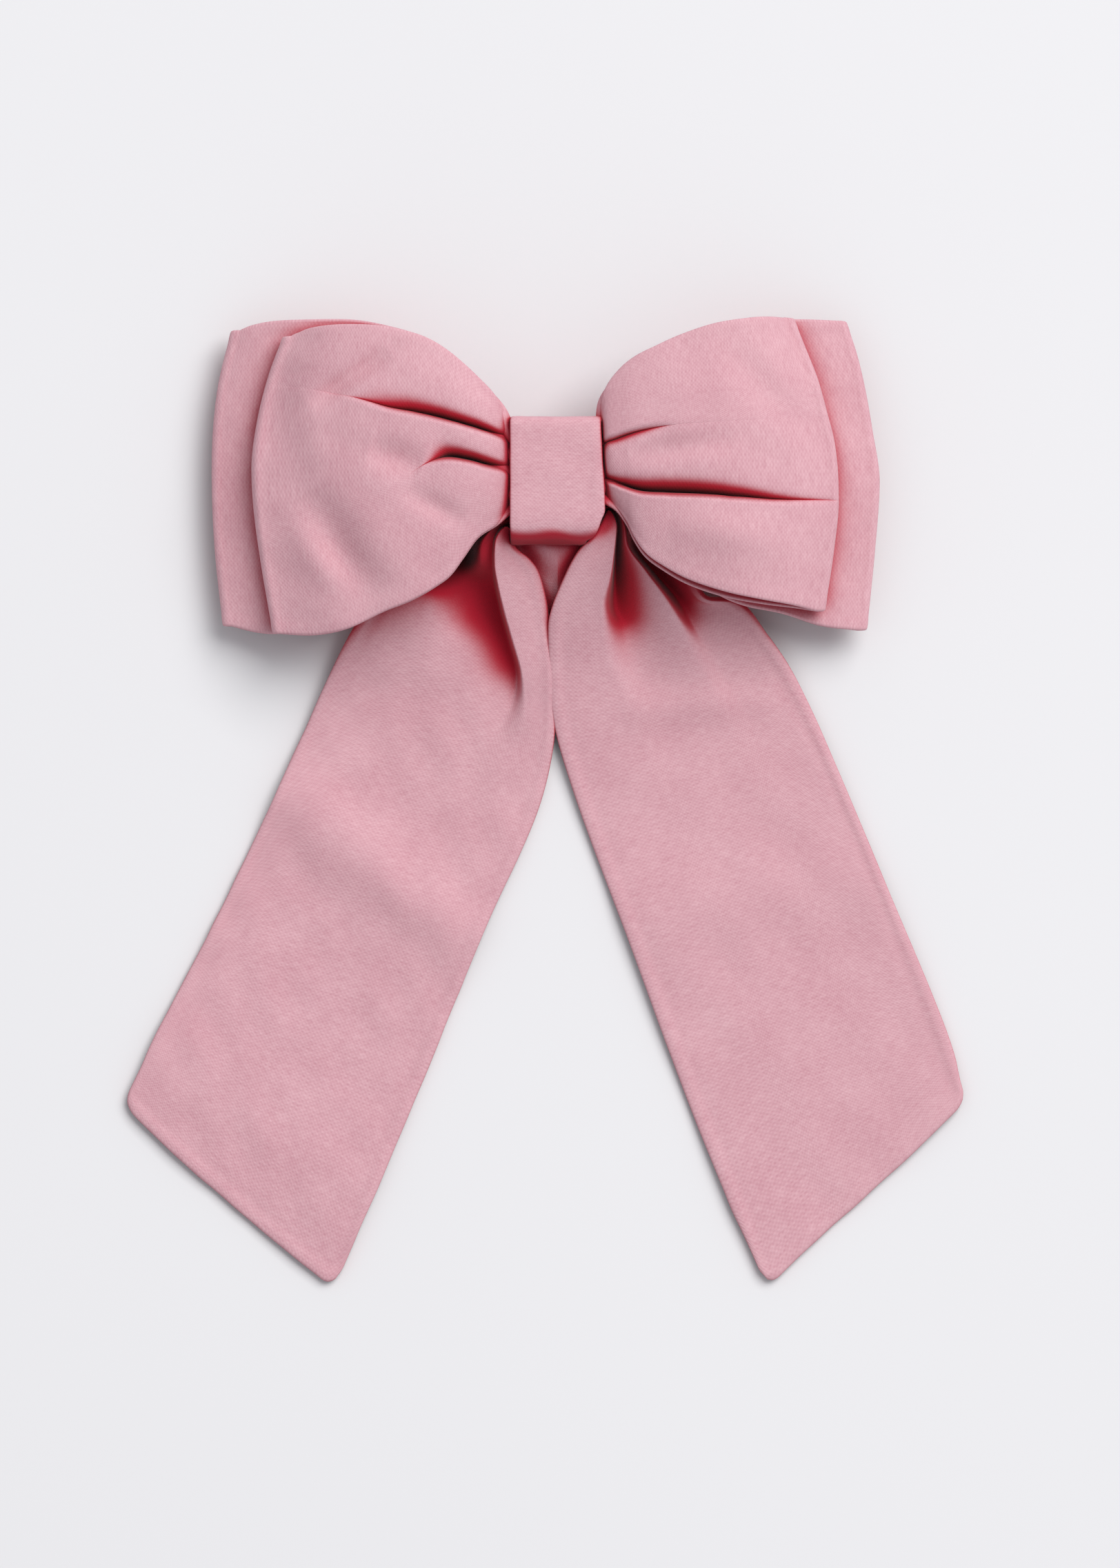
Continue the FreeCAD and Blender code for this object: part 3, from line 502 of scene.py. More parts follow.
BACK_RIGHT = {
    "side": 1, "fold_radius": 1.8, "seed": 71, "back_spread": (0, 1),
    "lower": [(0, 9.4, -4), (0.12, 16.5, -9), (0.27, 24.3, -17.6), (0.44, 33.6, -23),
              (0.53, 37.9, -24.6), (0.685, 45.9, -26.2), (0.835, 53.8, -28.6), (1, 61.8, -29.5)],
    "upper": [(0, 9.4, 10), (0.2, 20, 23), (0.5, 36, 29.5), (0.81, 49, 32.2), (1, 57.8, 32)],
    "edge": [(0, 62.5), (0.26, 64.1), (0.48, 65.0), (0.645, 63.6), (0.80, 61.9), (0.90, 60.4),
             (1, 58.4)],
    "crown": [(0, 1.5), (0.5, 1.5), (1, 0.4)],
    "front_height": [(0, 17.2), (0.2, 16.8), (0.43, 15.4), (0.7, 13.2), (0.88, 11.2), (1, 9.2)],
    "back_height": [(0, 15.0), (0.25, 13.4), (0.5, 10.4), (0.75, 7.6), (1, 5.8)],
    "creases": [], "dents": [],
}

front_loop = loop_piece("front_loop_cloth", FRONT_LEFT, FRONT_RIGHT, *FRONT_WAIST)
back_loop = loop_piece("back_loop_cloth", BACK_LEFT, BACK_RIGHT, *BACK_WAIST)


# ---------------------------------------------------------------- the tails

def across_loft(guides, counts):
    """Rows of points drawn smoothly across the guide lines, with so many steps between each pair."""
    gaps = np.linalg.norm(np.diff(guides, axis=1), axis=-1)
    gaps = np.maximum(gaps, 1e-3)
    secants = np.diff(guides, axis=1) / gaps[..., None]
    slopes = np.zeros_like(guides)
    same = secants[:, 1:] * secants[:, :-1] > 0
    total = np.where(same, secants[:, 1:] + secants[:, :-1], 1)
    slopes[:, 1:-1] = np.where(same, 2 * secants[:, 1:] * secants[:, :-1] / total, 0)
    slopes[:, 0] = secants[:, 0]
    slopes[:, -1] = secants[:, -1]
    columns = []
    for pair, count in enumerate(counts):
        width = gaps[:, pair, None]
        steps = np.linspace(0, 1, count + 1)[(0 if pair == 0 else 1):]
        for part in steps:
            columns.append(cubic(part, guides[:, pair], guides[:, pair + 1],
                                 slopes[:, pair] * width, slopes[:, pair + 1] * width))
    return np.stack(columns, 1)


TAIL_ROWS = 260
TAIL_CROWDING = 1.35     # above 1, the rows stand closer together near the knot
STATION_PACE = 1.35      # stations to each share of a tail's length, beside the cut end
COMING_FREE = (0.12, 0.35)       # the stations between which a tail comes free of the knot
FREE_LIFT = 0.5          # how far a free tail is lifted
UNDERSIDE = 0.05         # the lowest that a tail's underside lies
TAIL_STEPS = (24, 10, 16, 14, 30)
WEB_ROWS = 26            # rows each side of the middle that lie behind the tails
WEB_LIGHT = 1.7          # how open those rows are left, to keep them pale between the tails
LIGHT_SOFTENING = 8      # times that the tails' openness to the light is smoothed
STATIONS = (0, 0.02, 0.04, 0.06, 0.08, 0.105, 0.14, 0.17, 0.205, 0.25, 0.32, 0.40, 0.55, 0.75, 1)

# Each guide gives (x, y, z) at every station, from the middle of the band to the cut end.
RIGHT_TAIL = {
    "inner": [(0, -29, 5.5), (5, -23, 7.5), (8.6, -15.0, 11), (9.2, -7.4, 16.0), (6.9, -11.3, 16.4),
              (4.3, -14.7, 15.4), (1.6, -20.1, 13.2), (-0.5, -25.4, 10.9), (-1.3, -30.2, 8.8),
              (-1.3, -38, 5.8), (-0.2, -49, 3.0), (3.8, -62.7, 1.5), (15, -93, 1.3),
              (28, -128, 1.3), (42.2, -162.3, 1.3)],
    "panel": [(0, -21, 9), (3.5, -18, 9.6), (7.5, -13.0, 12), (10.2, -5.9, 17.2),
              (11.8, -9.2, 17.6), (11.4, -14, 16.2), (10.5, -19.7, 13.6), (8.9, -24.8, 11.0),
              (9.2, -30.3, 8.2), (10.5, -37, 5.4), (14, -46.6, 2.6), (18.2, -57.6, 1.7),
              (29, -87, 1.3), (42, -120.7, 1.3), (54.2, -150.9, 1.3)],
    "hollow": [(0, -13, 13), (2.5, -12.6, 13), (6.5, -10, 13.4), (10.5, -5.7, 14.6),
               (12.1, -9.0, 14.0), (11.8, -13.9, 9.0), (11.6, -20.0, 4.6), (12.0, -25.6, 3.2),
               (14.0, -29.6, 4.0), (16, -36, 3.6), (20, -44.9, 2.1), (24, -55.7, 1.5),
               (35, -84.5, 1.4), (47.5, -118, 1.4), (59.5, -146.2, 1.3)],
    "ridge": [(0, -5, 13.2), (2.5, -5, 13.2), (6, -5.4, 14), (11.2, -5.3, 17.0), (13.2, -8.3, 17.0),
              (14.0, -13, 15.8), (17.6, -18.0, 13.8), (21.4, -23.2, 11.6), (24.2, -28.2, 9.0),
              (26.9, -34, 5.8), (31, -41.8, 3.0), (35.5, -52.2, 1.7), (46.5, -79.9, 1.3),
              (58.5, -114, 1.3), (67.5, -138.9, 1.3)],
    "valley": [(0, 1, 13.2), (3, 0, 13), (7, -2.6, 12.5), (12.2, -5.0, 12.0), (14.6, -8.2, 11.0),
               (16.4, -13.6, 8.0), (19.8, -18.2, 6.0), (24.4, -23.6, 5.2), (27.6, -28.8, 5.6),
               (31, -33.6, 4.4), (35.5, -41.4, 2.4), (41, -50.5, 1.5), (52, -78, 1.3),
               (64, -111.5, 1.3), (73, -133.8, 1.3)],
    "outer": [(0, 7.5, 13), (3, 7, 13), (8, 4, 12.2), (12, 0, 11.5), (18, -4, 10.6),
              (23, -11, 10.0), (26.5, -19, 9.4), (29.6, -23.9, 9.2), (36, -24.8, 8.6),
              (41.6, -31, 5.6), (47.5, -39.5, 2.6), (54, -53, 1.5), (66.5, -82.5, 1.3),
              (77, -108, 1.3), (82.3, -124.6, 1.3)],
}
LEFT_TAIL = {
    "inner": [(0, -29, 5.5), (-5, -23, 7.5), (-8.6, -15.5, 11), (-9.0, -10.4, 15.0),
              (-8.9, -12.8, 15.0), (-6.0, -15.8, 13.6), (-3.9, -19.3, 11.8), (-2.5, -25, 9.6),
              (-1.7, -31.5, 7.4), (-0.9, -39.5, 5.0), (-0.9, -48, 3.0), (-3.4, -63, 1.6),
              (-14.6, -89, 1.3), (-28.7, -123, 1.3), (-45.0, -162.6, 1.3)],
    "panel": [(0, -21, 9), (-3.5, -18, 9.6), (-7.5, -13.0, 12), (-10.2, -9.2, 17.0),
              (-12.4, -12.2, 17.2), (-12.6, -16.2, 15.8), (-12.1, -20.0, 14.2),
              (-10.8, -25.6, 11.6), (-9.1, -31.6, 9.0), (-7.1, -38.8, 6.4), (-6.6, -46.6, 3.8),
              (-12, -60.5, 1.9), (-25, -86, 1.3), (-40, -118, 1.3), (-54.8, -154.8, 1.3)],
    "hollow": [(0, -13, 13), (-2.5, -12.6, 13), (-6.5, -10.6, 13.4), (-10.6, -8.9, 15.6),
               (-13.1, -11.9, 15.0), (-13.3, -16.2, 12.4), (-13.0, -20.4, 5.6), (-11.8, -26.0, 3.2),
               (-10.2, -31.8, 2.4), (-8.4, -39.0, 2.2), (-10.4, -46.6, 2.0), (-19, -58.8, 1.4),
               (-32, -83.5, 1.3), (-47.5, -114.5, 1.3), (-61.3, -149.4, 1.3)],
    "ridge": [(0, -5, 13.2), (-2.5, -5, 13.2), (-6, -6.4, 14), (-11.4, -8.4, 16.6),
              (-14.8, -11.8, 16.2), (-15.6, -16.0, 13.4), (-15.6, -20.2, 5.2), (-18.6, -25.0, 4.0),
              (-19.5, -30.8, 4.2), (-19.0, -38.0, 3.2), (-24, -45.2, 2.0), (-31, -56, 1.5),
              (-45, -80, 1.3), (-59.5, -109.5, 1.3), (-71.7, -140.4, 1.3)],
    "valley": [(0, 1, 13.2), (-3, 0, 13), (-7, -3, 12.5), (-12.2, -7.0, 11.0), (-17.0, -10.4, 8.6),
               (-19.0, -14.6, 6.4), (-22.0, -19.0, 6.0), (-26.0, -23.0, 7.6), (-28.5, -29.2, 6.4),
               (-30.5, -36.0, 4.2), (-35, -42.8, 2.1), (-40, -53.5, 1.5), (-54, -77.5, 1.3),
               (-68.5, -105, 1.3), (-79, -133.9, 1.3)],
    "outer": [(0, 7.5, 13), (-3, 7, 13), (-8, 4, 12.2), (-12, 0, 11.5), (-18, -4, 10.4),
              (-25, -10, 9.8), (-31, -17, 9.6), (-36.6, -23.6, 8.6), (-40.6, -29.6, 6.8),
              (-44.4, -36.8, 4.4), (-48.6, -45.8, 2.3), (-55, -59.6, 1.5), (-66.6, -84, 1.3),
              (-77, -104.5, 1.3), (-87.6, -125.4, 1.3)],
}
# Where the hollows beside the knot see little light, as (start, end, loss, width).
KNOT_SHADE = [((-14, -19), (-10.5, -36), 0.40, 4.5), ((-19, -17), (-17, -26), 0.30, 4.5),
              ((-14, -9), (-18, -14.5), 0.6, 2.2), ((-18, -15), (-24, -21), 0.6, 2.4),
              ((12.5, -16), (14, -27), 0.35, 3.6), ((17, -12), (25, -23), 0.35, 2.4)]
# Long soft waves as (start, end, depth, width); a negative depth is a raised wave.
LEFT_WAVES = [((-62, -58), (-10, -99), -2.4, 7), ((-88, -105), (-40, -150), -0.8, 9)]
RIGHT_WAVES = [((12, -46), (46, -44), -0.8, 4), ((10, -88), (70, -80), -0.9, 9)]
CUT_CORNER = 3.2         # the radius that each corner of a cut end is rounded to


def round_corners(rows, travel):
    """Draw the cut end back beside both edges, so that its corners are rounded."""
    across = np.linalg.norm(np.diff(rows[-1], axis=0), axis=1).cumsum()
    across = np.concatenate([[0], across])
    edge = np.minimum(across, across[-1] - across)
    short = np.clip(CUT_CORNER - edge, 0, CUT_CORNER)
    back = CUT_CORNER - np.sqrt(CUT_CORNER ** 2 - short ** 2)
    length = np.linalg.norm(np.diff(rows[:, 0], axis=0), axis=1).sum()
    near_end = smooth_step(travel, 0.85, 1)
    result = rows.copy()
    for column, share in enumerate(back / length * STATION_PACE):
        place = travel - share * near_end
        for axis in range(3):
            result[:, column, axis] = np.interp(place, travel, rows[:, column, axis])
    return result


def shaded(points, lines):
    """How open each point is to the light: less than 1 along lines of (start, end, loss, width)."""
    level = np.ones(points.shape[:2])
    for start, end, loss, width in lines:
        start = np.array(start, float)
        run = np.array(end, float) - start
        offset = points[..., :2] - start
        part = np.clip((offset @ run) / (run @ run), 0, 1)
        gap = np.linalg.norm(offset - part[..., None] * run, axis=-1)
        level -= loss * bell(gap, width)
    return np.clip(level, 0.05, 1)


def tail_rows(guides, seed, waves):
    """One tail as rows of points, from the middle of the band out to the slanting cut end."""
    travel = np.linspace(0, 1, TAIL_ROWS) ** TAIL_CROWDING
    names = ("inner", "panel", "hollow", "ridge", "valley", "outer")
    lines = [through([(station, *spot) for station, spot in zip(STATIONS, guides[name])], travel)
             for name in names]
    rows = across_loft(np.stack(lines, 1), TAIL_STEPS)
    rows = round_corners(rows, travel)
    spread = smooth_step(travel, *COMING_FREE)[:, None]
    rows[..., 2] += spread * wavy(rows, 34, seed, 0.45) + spread * wavy(rows, 11, seed + 1, 0.10)
    rows[..., 2] += spread * FREE_LIFT
    lay_dents(rows, waves)
    return rows


def tail_piece(name):
    """Both tails as one ribbon that crosses under the band."""
    left = tail_rows(LEFT_TAIL, 91, LEFT_WAVES)
    right = tail_rows(RIGHT_TAIL, 95, RIGHT_WAVES)
    rows = fitted(np.concatenate([left[::-1], right[1:]]))
    normals = blur(grid_normals(rows, False), 2, False)
    normals *= np.where(normals[..., 2:] < -0.3, -1, 1)
    across = np.linalg.norm(np.diff(rows, axis=1), axis=-1).cumsum(axis=1)
    across = np.concatenate([np.zeros((len(rows), 1)), across], axis=1)
    along = np.linalg.norm(np.diff(rows, axis=0), axis=-1).cumsum(axis=0)
    along = np.concatenate([np.zeros((1, rows.shape[1])), along])
    edge = np.minimum(np.minimum(across, across[:, -1:] - across),
                      np.minimum(along, along[-1:] - along))
    outer = rows + normals * seam_ridge(edge)[..., None]
    inner = rows - normals * THICKNESS
    lowest = lowest_nearby(rows[..., 2], 5)
    inner[..., 2] = np.minimum(inner[..., 2], np.maximum(lowest - THICKNESS, UNDERSIDE))
    inner[..., 2] = np.maximum(inner[..., 2], UNDERSIDE)
    light = shaded(rows, KNOT_SHADE)
    light[:, :TAIL_STEPS[0] + 1] = 1
    light[TAIL_ROWS - WEB_ROWS:TAIL_ROWS + WEB_ROWS, :TAIL_STEPS[0] + 1] = WEB_LIGHT
    light = blur(light[..., None], LIGHT_SOFTENING, False)[..., 0]
    return doubled_sheet(name, outer, inner, ribbon_coordinates(rows), False, light)


tails = tail_piece("tail_cloth")


# ---------------------------------------------------------------- the band

# The band's outer section, as (y, z), once round from the middle of the back.
BAND_SECTION = [(0, 8.7), (5.2, 8.7), (9.6, 10.4), (12.5, 12.8), (12.9, 16), (12.8, 20.2),
                (12.4, 21.6), (11.0, 22.2), (5, 22.35), (0, 22.4), (-5, 22.35), (-8.4, 22.2),
                (-10.4, 21.5), (-11.6, 19.8), (-12.3, 17.5), (-12.9, 15.5), (-12.9, 14.2),
                (-12.2, 12.8), (-9.6, 10.4), (-5.2, 8.7), (0, 8.7)]
# How far the band reaches to the left and right, by place round its section.
BAND_SIDES = [(0, 9.1, 9.1), (0.30, 9.0, 8.7), (0.345, 9.1, 8.3), (0.50, 9.1, 8.8),
              (0.60, 9.1, 9.1), (0.63, 9.1, 8.4), (0.68, 9.0, 7.3), (0.74, 9.0, 5.4),
              (0.80, 9.0, 5.2), (0.90, 8.6, 7.4), (1, 9.1, 9.1)]
BAND_THICKNESS = 0.95
BAND_ROWS = 180
BAND_COLUMNS = 61
BAND_HALF = 9.3          # half its usual width, for its seams
BAND_SHADE = 0.72        # the share of the light that its lower edge loses
BAND_TURN = (8.8, 12.6)          # how far below its middle that loss sets in and is complete
BAND_FRONT = (11.0, 13.0)        # the heights above which it is part of the front


def band_piece(name):
    """The wrap round the knot: a closed ring of doubled ribbon."""
    section = np.array(BAND_SECTION, float)
    lengths = np.linalg.norm(np.diff(section, axis=0), axis=1)
    place = np.concatenate([[0], lengths.cumsum()]) / lengths.sum()
    around = np.linspace(0, 1, BAND_ROWS + 1)[:-1]
    path = through(np.column_stack([place, section]), around)
    path = blur(np.stack([path, path], 1), 3, True)[:, 0]
    across = np.linspace(-1, 1, BAND_COLUMNS)
    sides = through(BAND_SIDES, around)
    width = np.where(across[None, :] < 0, sides[:, :1], sides[:, 1:])
    rows = np.empty((len(around), len(across), 3))
    rows[..., 0] = width * across
    rows[..., 1] = path[:, :1]
    rows[..., 2] = path[:, 1:]
    rows = fitted(rows)
    normals = grid_normals(rows, True)
    edge = (1 - np.abs(across)) * BAND_HALF
    puff = 0.08 * bell(edge - 1.2, 1.0)
    rough = wavy(rows, 7, 15, 0.07)
    outer = rows + normals * (puff[None, :] + rough)[..., None]
    inner = rows - normals * BAND_THICKNESS
    under = smooth_step(-rows[..., 1] + wavy(rows, 9, 19, 0.5), *BAND_TURN)
    light = 1 - BAND_SHADE * under * smooth_step(rows[..., 2], *BAND_FRONT)
    return doubled_sheet(name, outer, inner, ribbon_coordinates(rows), True, light)


band = band_piece("band_cloth")


# ---------------------------------------------------------------- materials

def node_tree(name):
    """A new material with only its output and one principled shader."""
    material = bpy.data.materials.new(name)
    material.use_nodes = True
    tree = material.node_tree
    shader = tree.nodes["Principled BSDF"]
    return material, tree, shader


def maths(tree, operation, first, second=None):
    """One maths node fed by sockets or plain numbers."""
    node = tree.nodes.new("ShaderNodeMath")
    node.operation = operation
    for place, value in enumerate((first, second)):
        if value is None:
            continue
        if isinstance(value, (int, float)):
            node.inputs[place].default_value = value
        else:
            tree.links.new(value, node.inputs[place])
    return node.outputs[0]


def noise(tree, where, scale, detail):
    """A noise texture read at a coordinate."""
    node = tree.nodes.new("ShaderNodeTexNoise")
    node.inputs["Scale"].default_value = scale
    node.inputs["Detail"].default_value = detail
    tree.links.new(where, node.inputs["Vector"])
    return node.outputs["Fac"]


def blend(tree, factor, low, high):
    """A colour between two others, mixed by a socket."""
    node = tree.nodes.new("ShaderNodeMix")
    node.data_type = "RGBA"
    node.inputs["A"].default_value = (*low, 1)
    node.inputs["B"].default_value = (*high, 1)
    tree.links.new(factor, node.inputs["Factor"])
    return node.outputs["Result"]


def raise_surface(tree, shader, height, strength, distance):
    """Bump a shader's surface by a height socket."""
    node = tree.nodes.new("ShaderNodeBump")
    node.inputs["Strength"].default_value = strength
    node.inputs["Distance"].default_value = distance
    tree.links.new(height, node.inputs["Height"])
    tree.links.new(node.outputs["Normal"], shader.inputs["Normal"])


def stretched(tree, where, scale):
    """A coordinate scaled by different amounts along each axis."""
    node = tree.nodes.new("ShaderNodeMapping")
    node.inputs["Scale"].default_value = scale
    tree.links.new(where, node.inputs["Vector"])
    return node.outputs["Vector"]


THREADS = 26             # threads in each centimetre of the weave
TWISTS = 14000           # how tightly the sewing thread is twisted, in radians to the metre
PAINTED_SHADE_REACH = 14          # how near, in mm, other cloth must be to darken the painted shade in a fold
# Painted shade: the red that folds and hollows are painted, and the black of the deepest ones
PAINTED_FOLD_SHADE_RED = (0.52, 0.016, 0.038)
PAINTED_FOLD_SHADE_BLACK = (0.03, 0.0015, 0.002)


def woven_threads(tree, where):
    """Two sockets: the crossings of the weave, and how thick its threads are."""
    wander = noise(tree, stretched(tree, where, (3, 3, 1)), 1.0, 2)
    sway = maths(tree, "MULTIPLY", wander, 1.2)
    parts = tree.nodes.new("ShaderNodeSeparateXYZ")
    tree.links.new(where, parts.inputs[0])

    def ripple(axis):
        turns = maths(tree, "MULTIPLY", parts.outputs[axis], math.pi * THREADS)
        return maths(tree, "SINE", maths(tree, "ADD", turns, sway))

    weave = maths(tree, "MULTIPLY", ripple("X"), ripple("Y"))
    slub = noise(tree, stretched(tree, where, (THREADS, 5, 1)), 1.0, 2)
    cross = noise(tree, stretched(tree, where, (6, THREADS, 1)), 1.0, 2)
    return weave, maths(tree, "ADD", slub, maths(tree, "MULTIPLY", cross, 0.45))


def painted_fold_shade(tree, open_colour):
    """A colour with painted shade: it turns red, and then black, where ambient occlusion and the
    painted openness to the light say a fold shuts it off from the light.
    """
    closed = tree.nodes.new("ShaderNodeAmbientOcclusion")
    closed.samples = 8
    closed.inputs["Distance"].default_value = PAINTED_SHADE_REACH * MM
    painted = tree.nodes.new("ShaderNodeAttribute")
    painted.attribute_name = "open_to_light"
    reached = maths(tree, "MULTIPLY", closed.outputs["AO"], painted.outputs["Fac"])
    depth = tree.nodes.new("ShaderNodeMapRange")
    depth.interpolation_type = "SMOOTHSTEP"
    depth.inputs["From Min"].default_value = 0.46
    depth.inputs["From Max"].default_value = 0.95
    tree.links.new(reached, depth.inputs["Value"])
    deepest = tree.nodes.new("ShaderNodeValToRGB")
    deepest.color_ramp.elements[0].color = (*PAINTED_FOLD_SHADE_BLACK, 1)
    deepest.color_ramp.elements[1].color = (*PAINTED_FOLD_SHADE_RED, 1)
    deepest.color_ramp.elements[1].position = 0.34
    tree.links.new(reached, deepest.inputs["Fac"])
    painted_shade_mix = tree.nodes.new("ShaderNodeMix")
    painted_shade_mix.data_type = "RGBA"
    tree.links.new(deepest.outputs["Color"], painted_shade_mix.inputs["A"])
    tree.links.new(open_colour, painted_shade_mix.inputs["B"])
    tree.links.new(depth.outputs["Result"], painted_shade_mix.inputs["Factor"])
    return painted_shade_mix.outputs["Result"]


def cotton(name, colour, deep):
    """Plain-woven slubby cotton in ribbon coordinates, one unit to the centimetre."""
    material, tree, shader = node_tree(name)
    layer = tree.nodes.new("ShaderNodeUVMap")
    layer.uv_map = "ribbon"
    where = layer.outputs["UV"]
    weave, thread = woven_threads(tree, where)
    height = maths(tree, "ADD", maths(tree, "MULTIPLY", weave, 0.35), thread)
    raise_surface(tree, shader, height, 0.5, 0.00008)

    patches = noise(tree, where, 0.9, 3)
    shade = maths(tree, "ADD", maths(tree, "MULTIPLY", thread, 0.42),
                  maths(tree, "MULTIPLY", patches, 0.25))
    shade = maths(tree, "ADD", shade, maths(tree, "MULTIPLY", weave, 0.07))
    ramp = tree.nodes.new("ShaderNodeMapRange")
    ramp.inputs["From Min"].default_value = 0.26
    ramp.inputs["From Max"].default_value = 0.60
    tree.links.new(shade, ramp.inputs["Value"])
    open_colour = blend(tree, ramp.outputs["Result"], deep, colour)
    # The base colour carries painted shade, red and then black, in folds and hollows.
    tree.links.new(painted_fold_shade(tree, open_colour), shader.inputs["Base Color"])

    shader.inputs["Roughness"].default_value = 0.92
    shader.inputs["Specular IOR Level"].default_value = 0.15
    shader.inputs["Sheen Weight"].default_value = 0.12
    shader.inputs["Sheen Roughness"].default_value = 0.5
    return material


def metal(name, colour, roughness, grain):
    """Stamped or drawn metal with a fine directional grain and slight tarnish."""
    material, tree, shader = node_tree(name)
    where = tree.nodes.new("ShaderNodeTexCoord").outputs["Object"]
    lines = noise(tree, stretched(tree, where, grain), 1.0, 3)
    tarnish = noise(tree, where, 220, 4)
    level = maths(tree, "ADD", maths(tree, "MULTIPLY", lines, 0.12),
                  maths(tree, "MULTIPLY", tarnish, 0.16))
    tree.links.new(maths(tree, "ADD", level, roughness - 0.12), shader.inputs["Roughness"])
    dulled = [0.72 * part for part in colour]
    tree.links.new(blend(tree, tarnish, dulled, colour), shader.inputs["Base Color"])
    raise_surface(tree, shader, lines, 0.15, 0.00003)
    shader.inputs["Metallic"].default_value = 1
    return material


def twisted_thread(name, colour):
    """Sewing thread with the fine slant of its twist."""
    material, tree, shader = node_tree(name)
    where = tree.nodes.new("ShaderNodeTexCoord").outputs["Object"]
    parts = tree.nodes.new("ShaderNodeSeparateXYZ")
    tree.links.new(where, parts.inputs[0])
    slant = maths(tree, "ADD", maths(tree, "MULTIPLY", parts.outputs["X"], TWISTS),
                  maths(tree, "MULTIPLY", parts.outputs["Y"], TWISTS))
    twist = maths(tree, "SINE", slant)
    fuzz = noise(tree, where, 3000, 2)
    shaded_colour = [0.8 * part for part in colour]
    tree.links.new(blend(tree, fuzz, shaded_colour, colour), shader.inputs["Base Color"])
    raise_surface(tree, shader, twist, 0.4, 0.00005)
    shader.inputs["Roughness"].default_value = 0.6
    return material


def set_glue(name):
    """Cloudy set glue."""
    material, tree, shader = node_tree(name)
    where = tree.nodes.new("ShaderNodeTexCoord").outputs["Object"]
    cloud = noise(tree, where, 400, 3)
    clouded = blend(tree, cloud, (0.62, 0.56, 0.44), (0.80, 0.76, 0.66))
    tree.links.new(clouded, shader.inputs["Base Color"])
    raise_surface(tree, shader, cloud, 1, 0.0002)
    shader.inputs["Roughness"].default_value = 0.28
    shader.inputs["Subsurface Weight"].default_value = 0.1
    shader.inputs["Subsurface Radius"].default_value = (0.001, 0.001, 0.0006)
    return material


PINK = (0.78, 0.47, 0.52)
DEEP_PINK = (0.62, 0.31, 0.365)
loop_cotton = cotton("loop_cotton", PINK, DEEP_PINK)
tail_cotton = cotton("tail_cotton", PINK, DEEP_PINK)
band_cotton = cotton("band_cotton", PINK, DEEP_PINK)
plate_metal = metal("plated_steel", (0.78, 0.77, 0.75), 0.30, (60, 9000, 9000))
spring_metal = metal("spring_steel", (0.66, 0.66, 0.66), 0.24, (60, 12000, 12000))
rivet_metal = metal("rivet_brass", (0.80, 0.70, 0.48), 0.30, (4000, 4000, 4000))
pink_thread = twisted_thread("pink_thread", (0.70, 0.33, 0.40))
glue = set_glue("cloudy_glue")

for name, material in {
    "base_plate": plate_metal, "clasp_arm": plate_metal, "catch_plate": plate_metal,
    "catch_finger_upper": plate_metal, "catch_finger_lower": plate_metal,
    "tension_bar": spring_metal, "hinge_pin": rivet_metal, "bar_rivet": rivet_metal,
    "catch_rivet": rivet_metal, "glue_pad": glue, "front_loop_thread": pink_thread,
    "back_loop_thread": pink_thread, "tail_thread": pink_thread, "band_stitches": pink_thread,
}.items():
    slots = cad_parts[name].material_slots
    for place in slots:
        place.material = material

CLOTHS = (
    (front_loop, "front_loop", "bow_fabric", loop_cotton, (0.062, 0.25), "gathered"),
    (back_loop, "back_loop", "bow_fabric", loop_cotton, (0.062, 0.28), "gathered"),
    (tails, "tail_ribbon", "tail_fabric", tail_cotton, (0.052, 0.36), "gathered"),
    (band, "center_band", "band_fabric", band_cotton, (0.0185, 0.075), "folded"),
)
for piece, node, slot, material, flat, held in CLOTHS:
    piece.data.materials.append(material)
    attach(piece, ROOT)
    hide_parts(node)


# ---------------------------------------------------------------- floor, light and camera

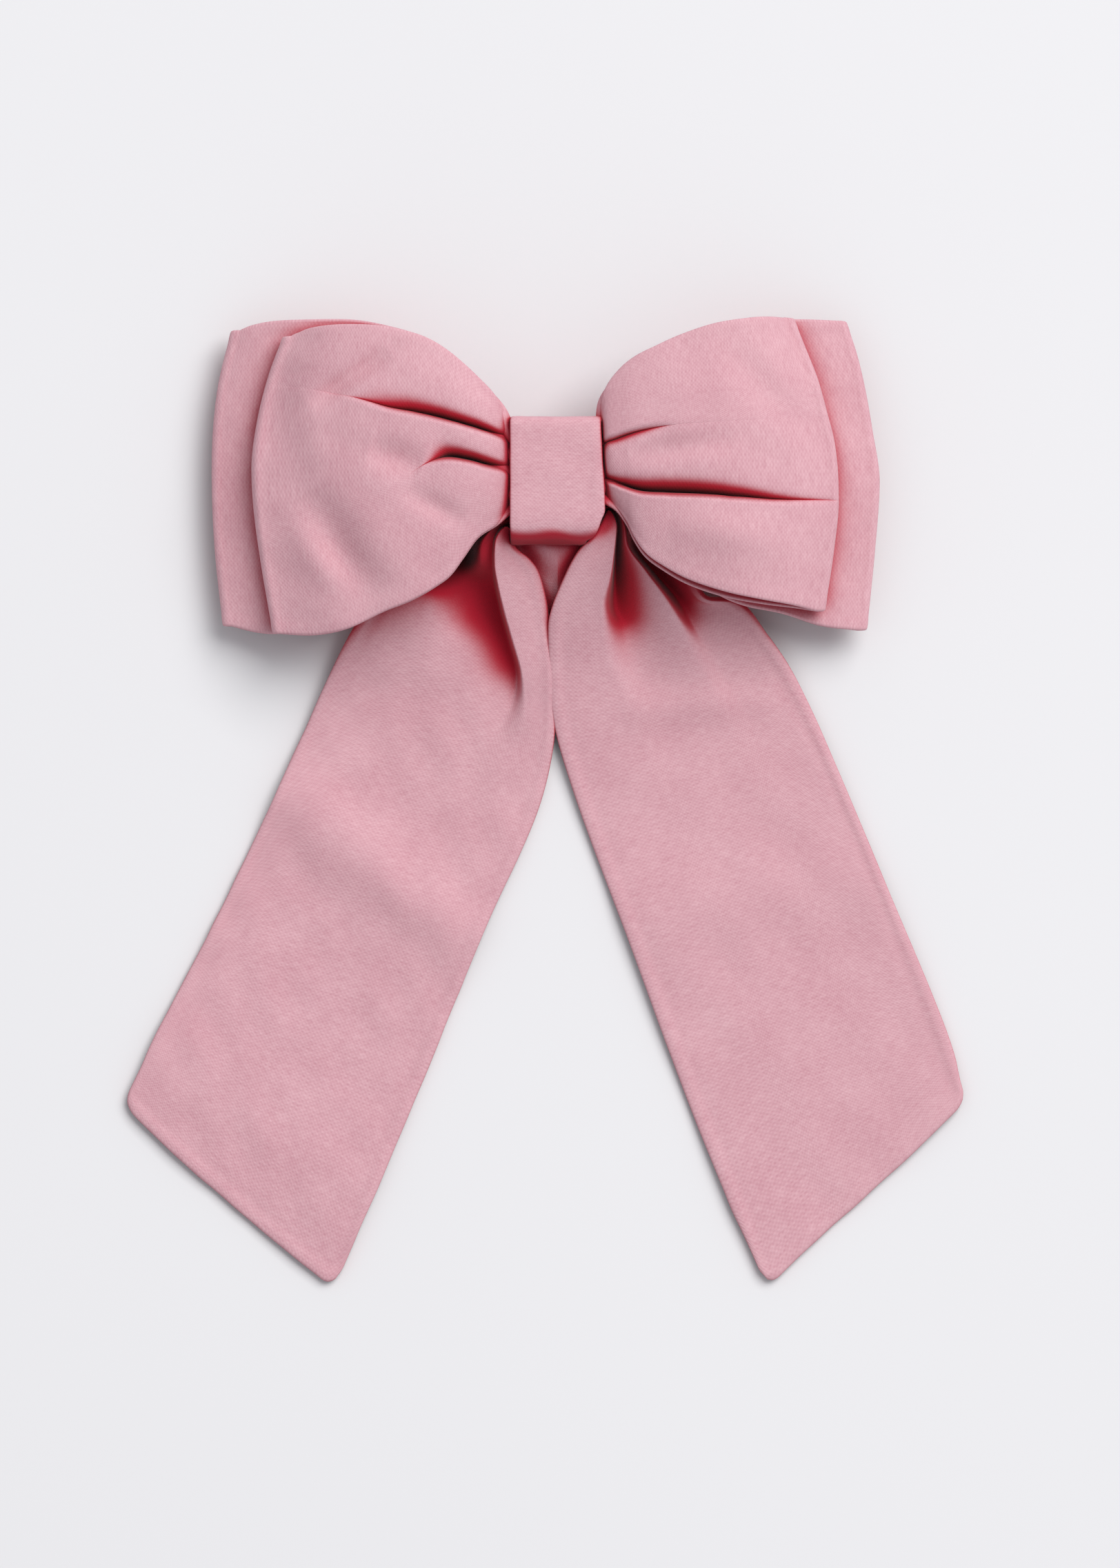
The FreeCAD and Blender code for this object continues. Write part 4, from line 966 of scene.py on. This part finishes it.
def plain_floor():
    """A pale matt board under everything."""
    bpy.ops.mesh.primitive_plane_add(size=6, location=(0, 0, -0.0002))
    floor = bpy.context.object
    floor.name = "floor"
    material, tree, shader = node_tree("pale_board")
    where = tree.nodes.new("ShaderNodeTexCoord").outputs["Object"]
    mottled = blend(tree, noise(tree, where, 3, 2), (0.84, 0.84, 0.86), (0.88, 0.88, 0.90))
    tree.links.new(mottled, shader.inputs["Base Color"])
    shader.inputs["Roughness"].default_value = 0.9
    floor.data.materials.append(material)
    return floor


def area_lamp(name, place, target, size, power, colour):
    """A square soft lamp at a place, turned towards a target."""
    data = bpy.data.lights.new(name, "AREA")
    data.shape = "SQUARE"
    data.size = size
    data.energy = power
    data.color = colour
    lamp = bpy.data.objects.new(name, data)
    lamp.location = place
    direction = Vector(target) - Vector(place)
    lamp.rotation_euler = direction.to_track_quat("-Z", "Y").to_euler()
    bpy.context.scene.collection.objects.link(lamp)
    return lamp


KEY_PLACE = (1.65, 1.95, 3.3)
KEY_TARGET = (0, -0.06, 0)
KEY_SIZE = 2.8
KEY_POWER = 150
KEY_COLOUR = (1, 0.985, 0.97)
SKY_COLOUR = (0.95, 0.96, 1.0, 1)
SKY_STRENGTH = 0.43
FRAME_TALL = 0.3173      # the stretch of the floor that the picture shows, top to bottom
FRAME_MIDDLE = (0.0005, -0.061)
EYE_HEIGHT = 2.6
SENSOR_TALL = 24

board = plain_floor()
key = area_lamp("key", KEY_PLACE, KEY_TARGET, KEY_SIZE, KEY_POWER, KEY_COLOUR)

world = bpy.data.worlds.new("studio")
world.use_nodes = True
world.node_tree.nodes["Background"].inputs["Color"].default_value = SKY_COLOUR
world.node_tree.nodes["Background"].inputs["Strength"].default_value = SKY_STRENGTH
bpy.context.scene.world = world
bpy.context.scene.view_settings.view_transform = "Standard"

lens = bpy.data.cameras.new("camera")
lens.sensor_fit = "VERTICAL"
lens.sensor_height = SENSOR_TALL
lens.lens = SENSOR_TALL * EYE_HEIGHT / FRAME_TALL
camera = bpy.data.objects.new("camera", lens)
camera.location = (*FRAME_MIDDLE, EYE_HEIGHT)
bpy.context.scene.collection.objects.link(camera)
bpy.context.scene.camera = camera
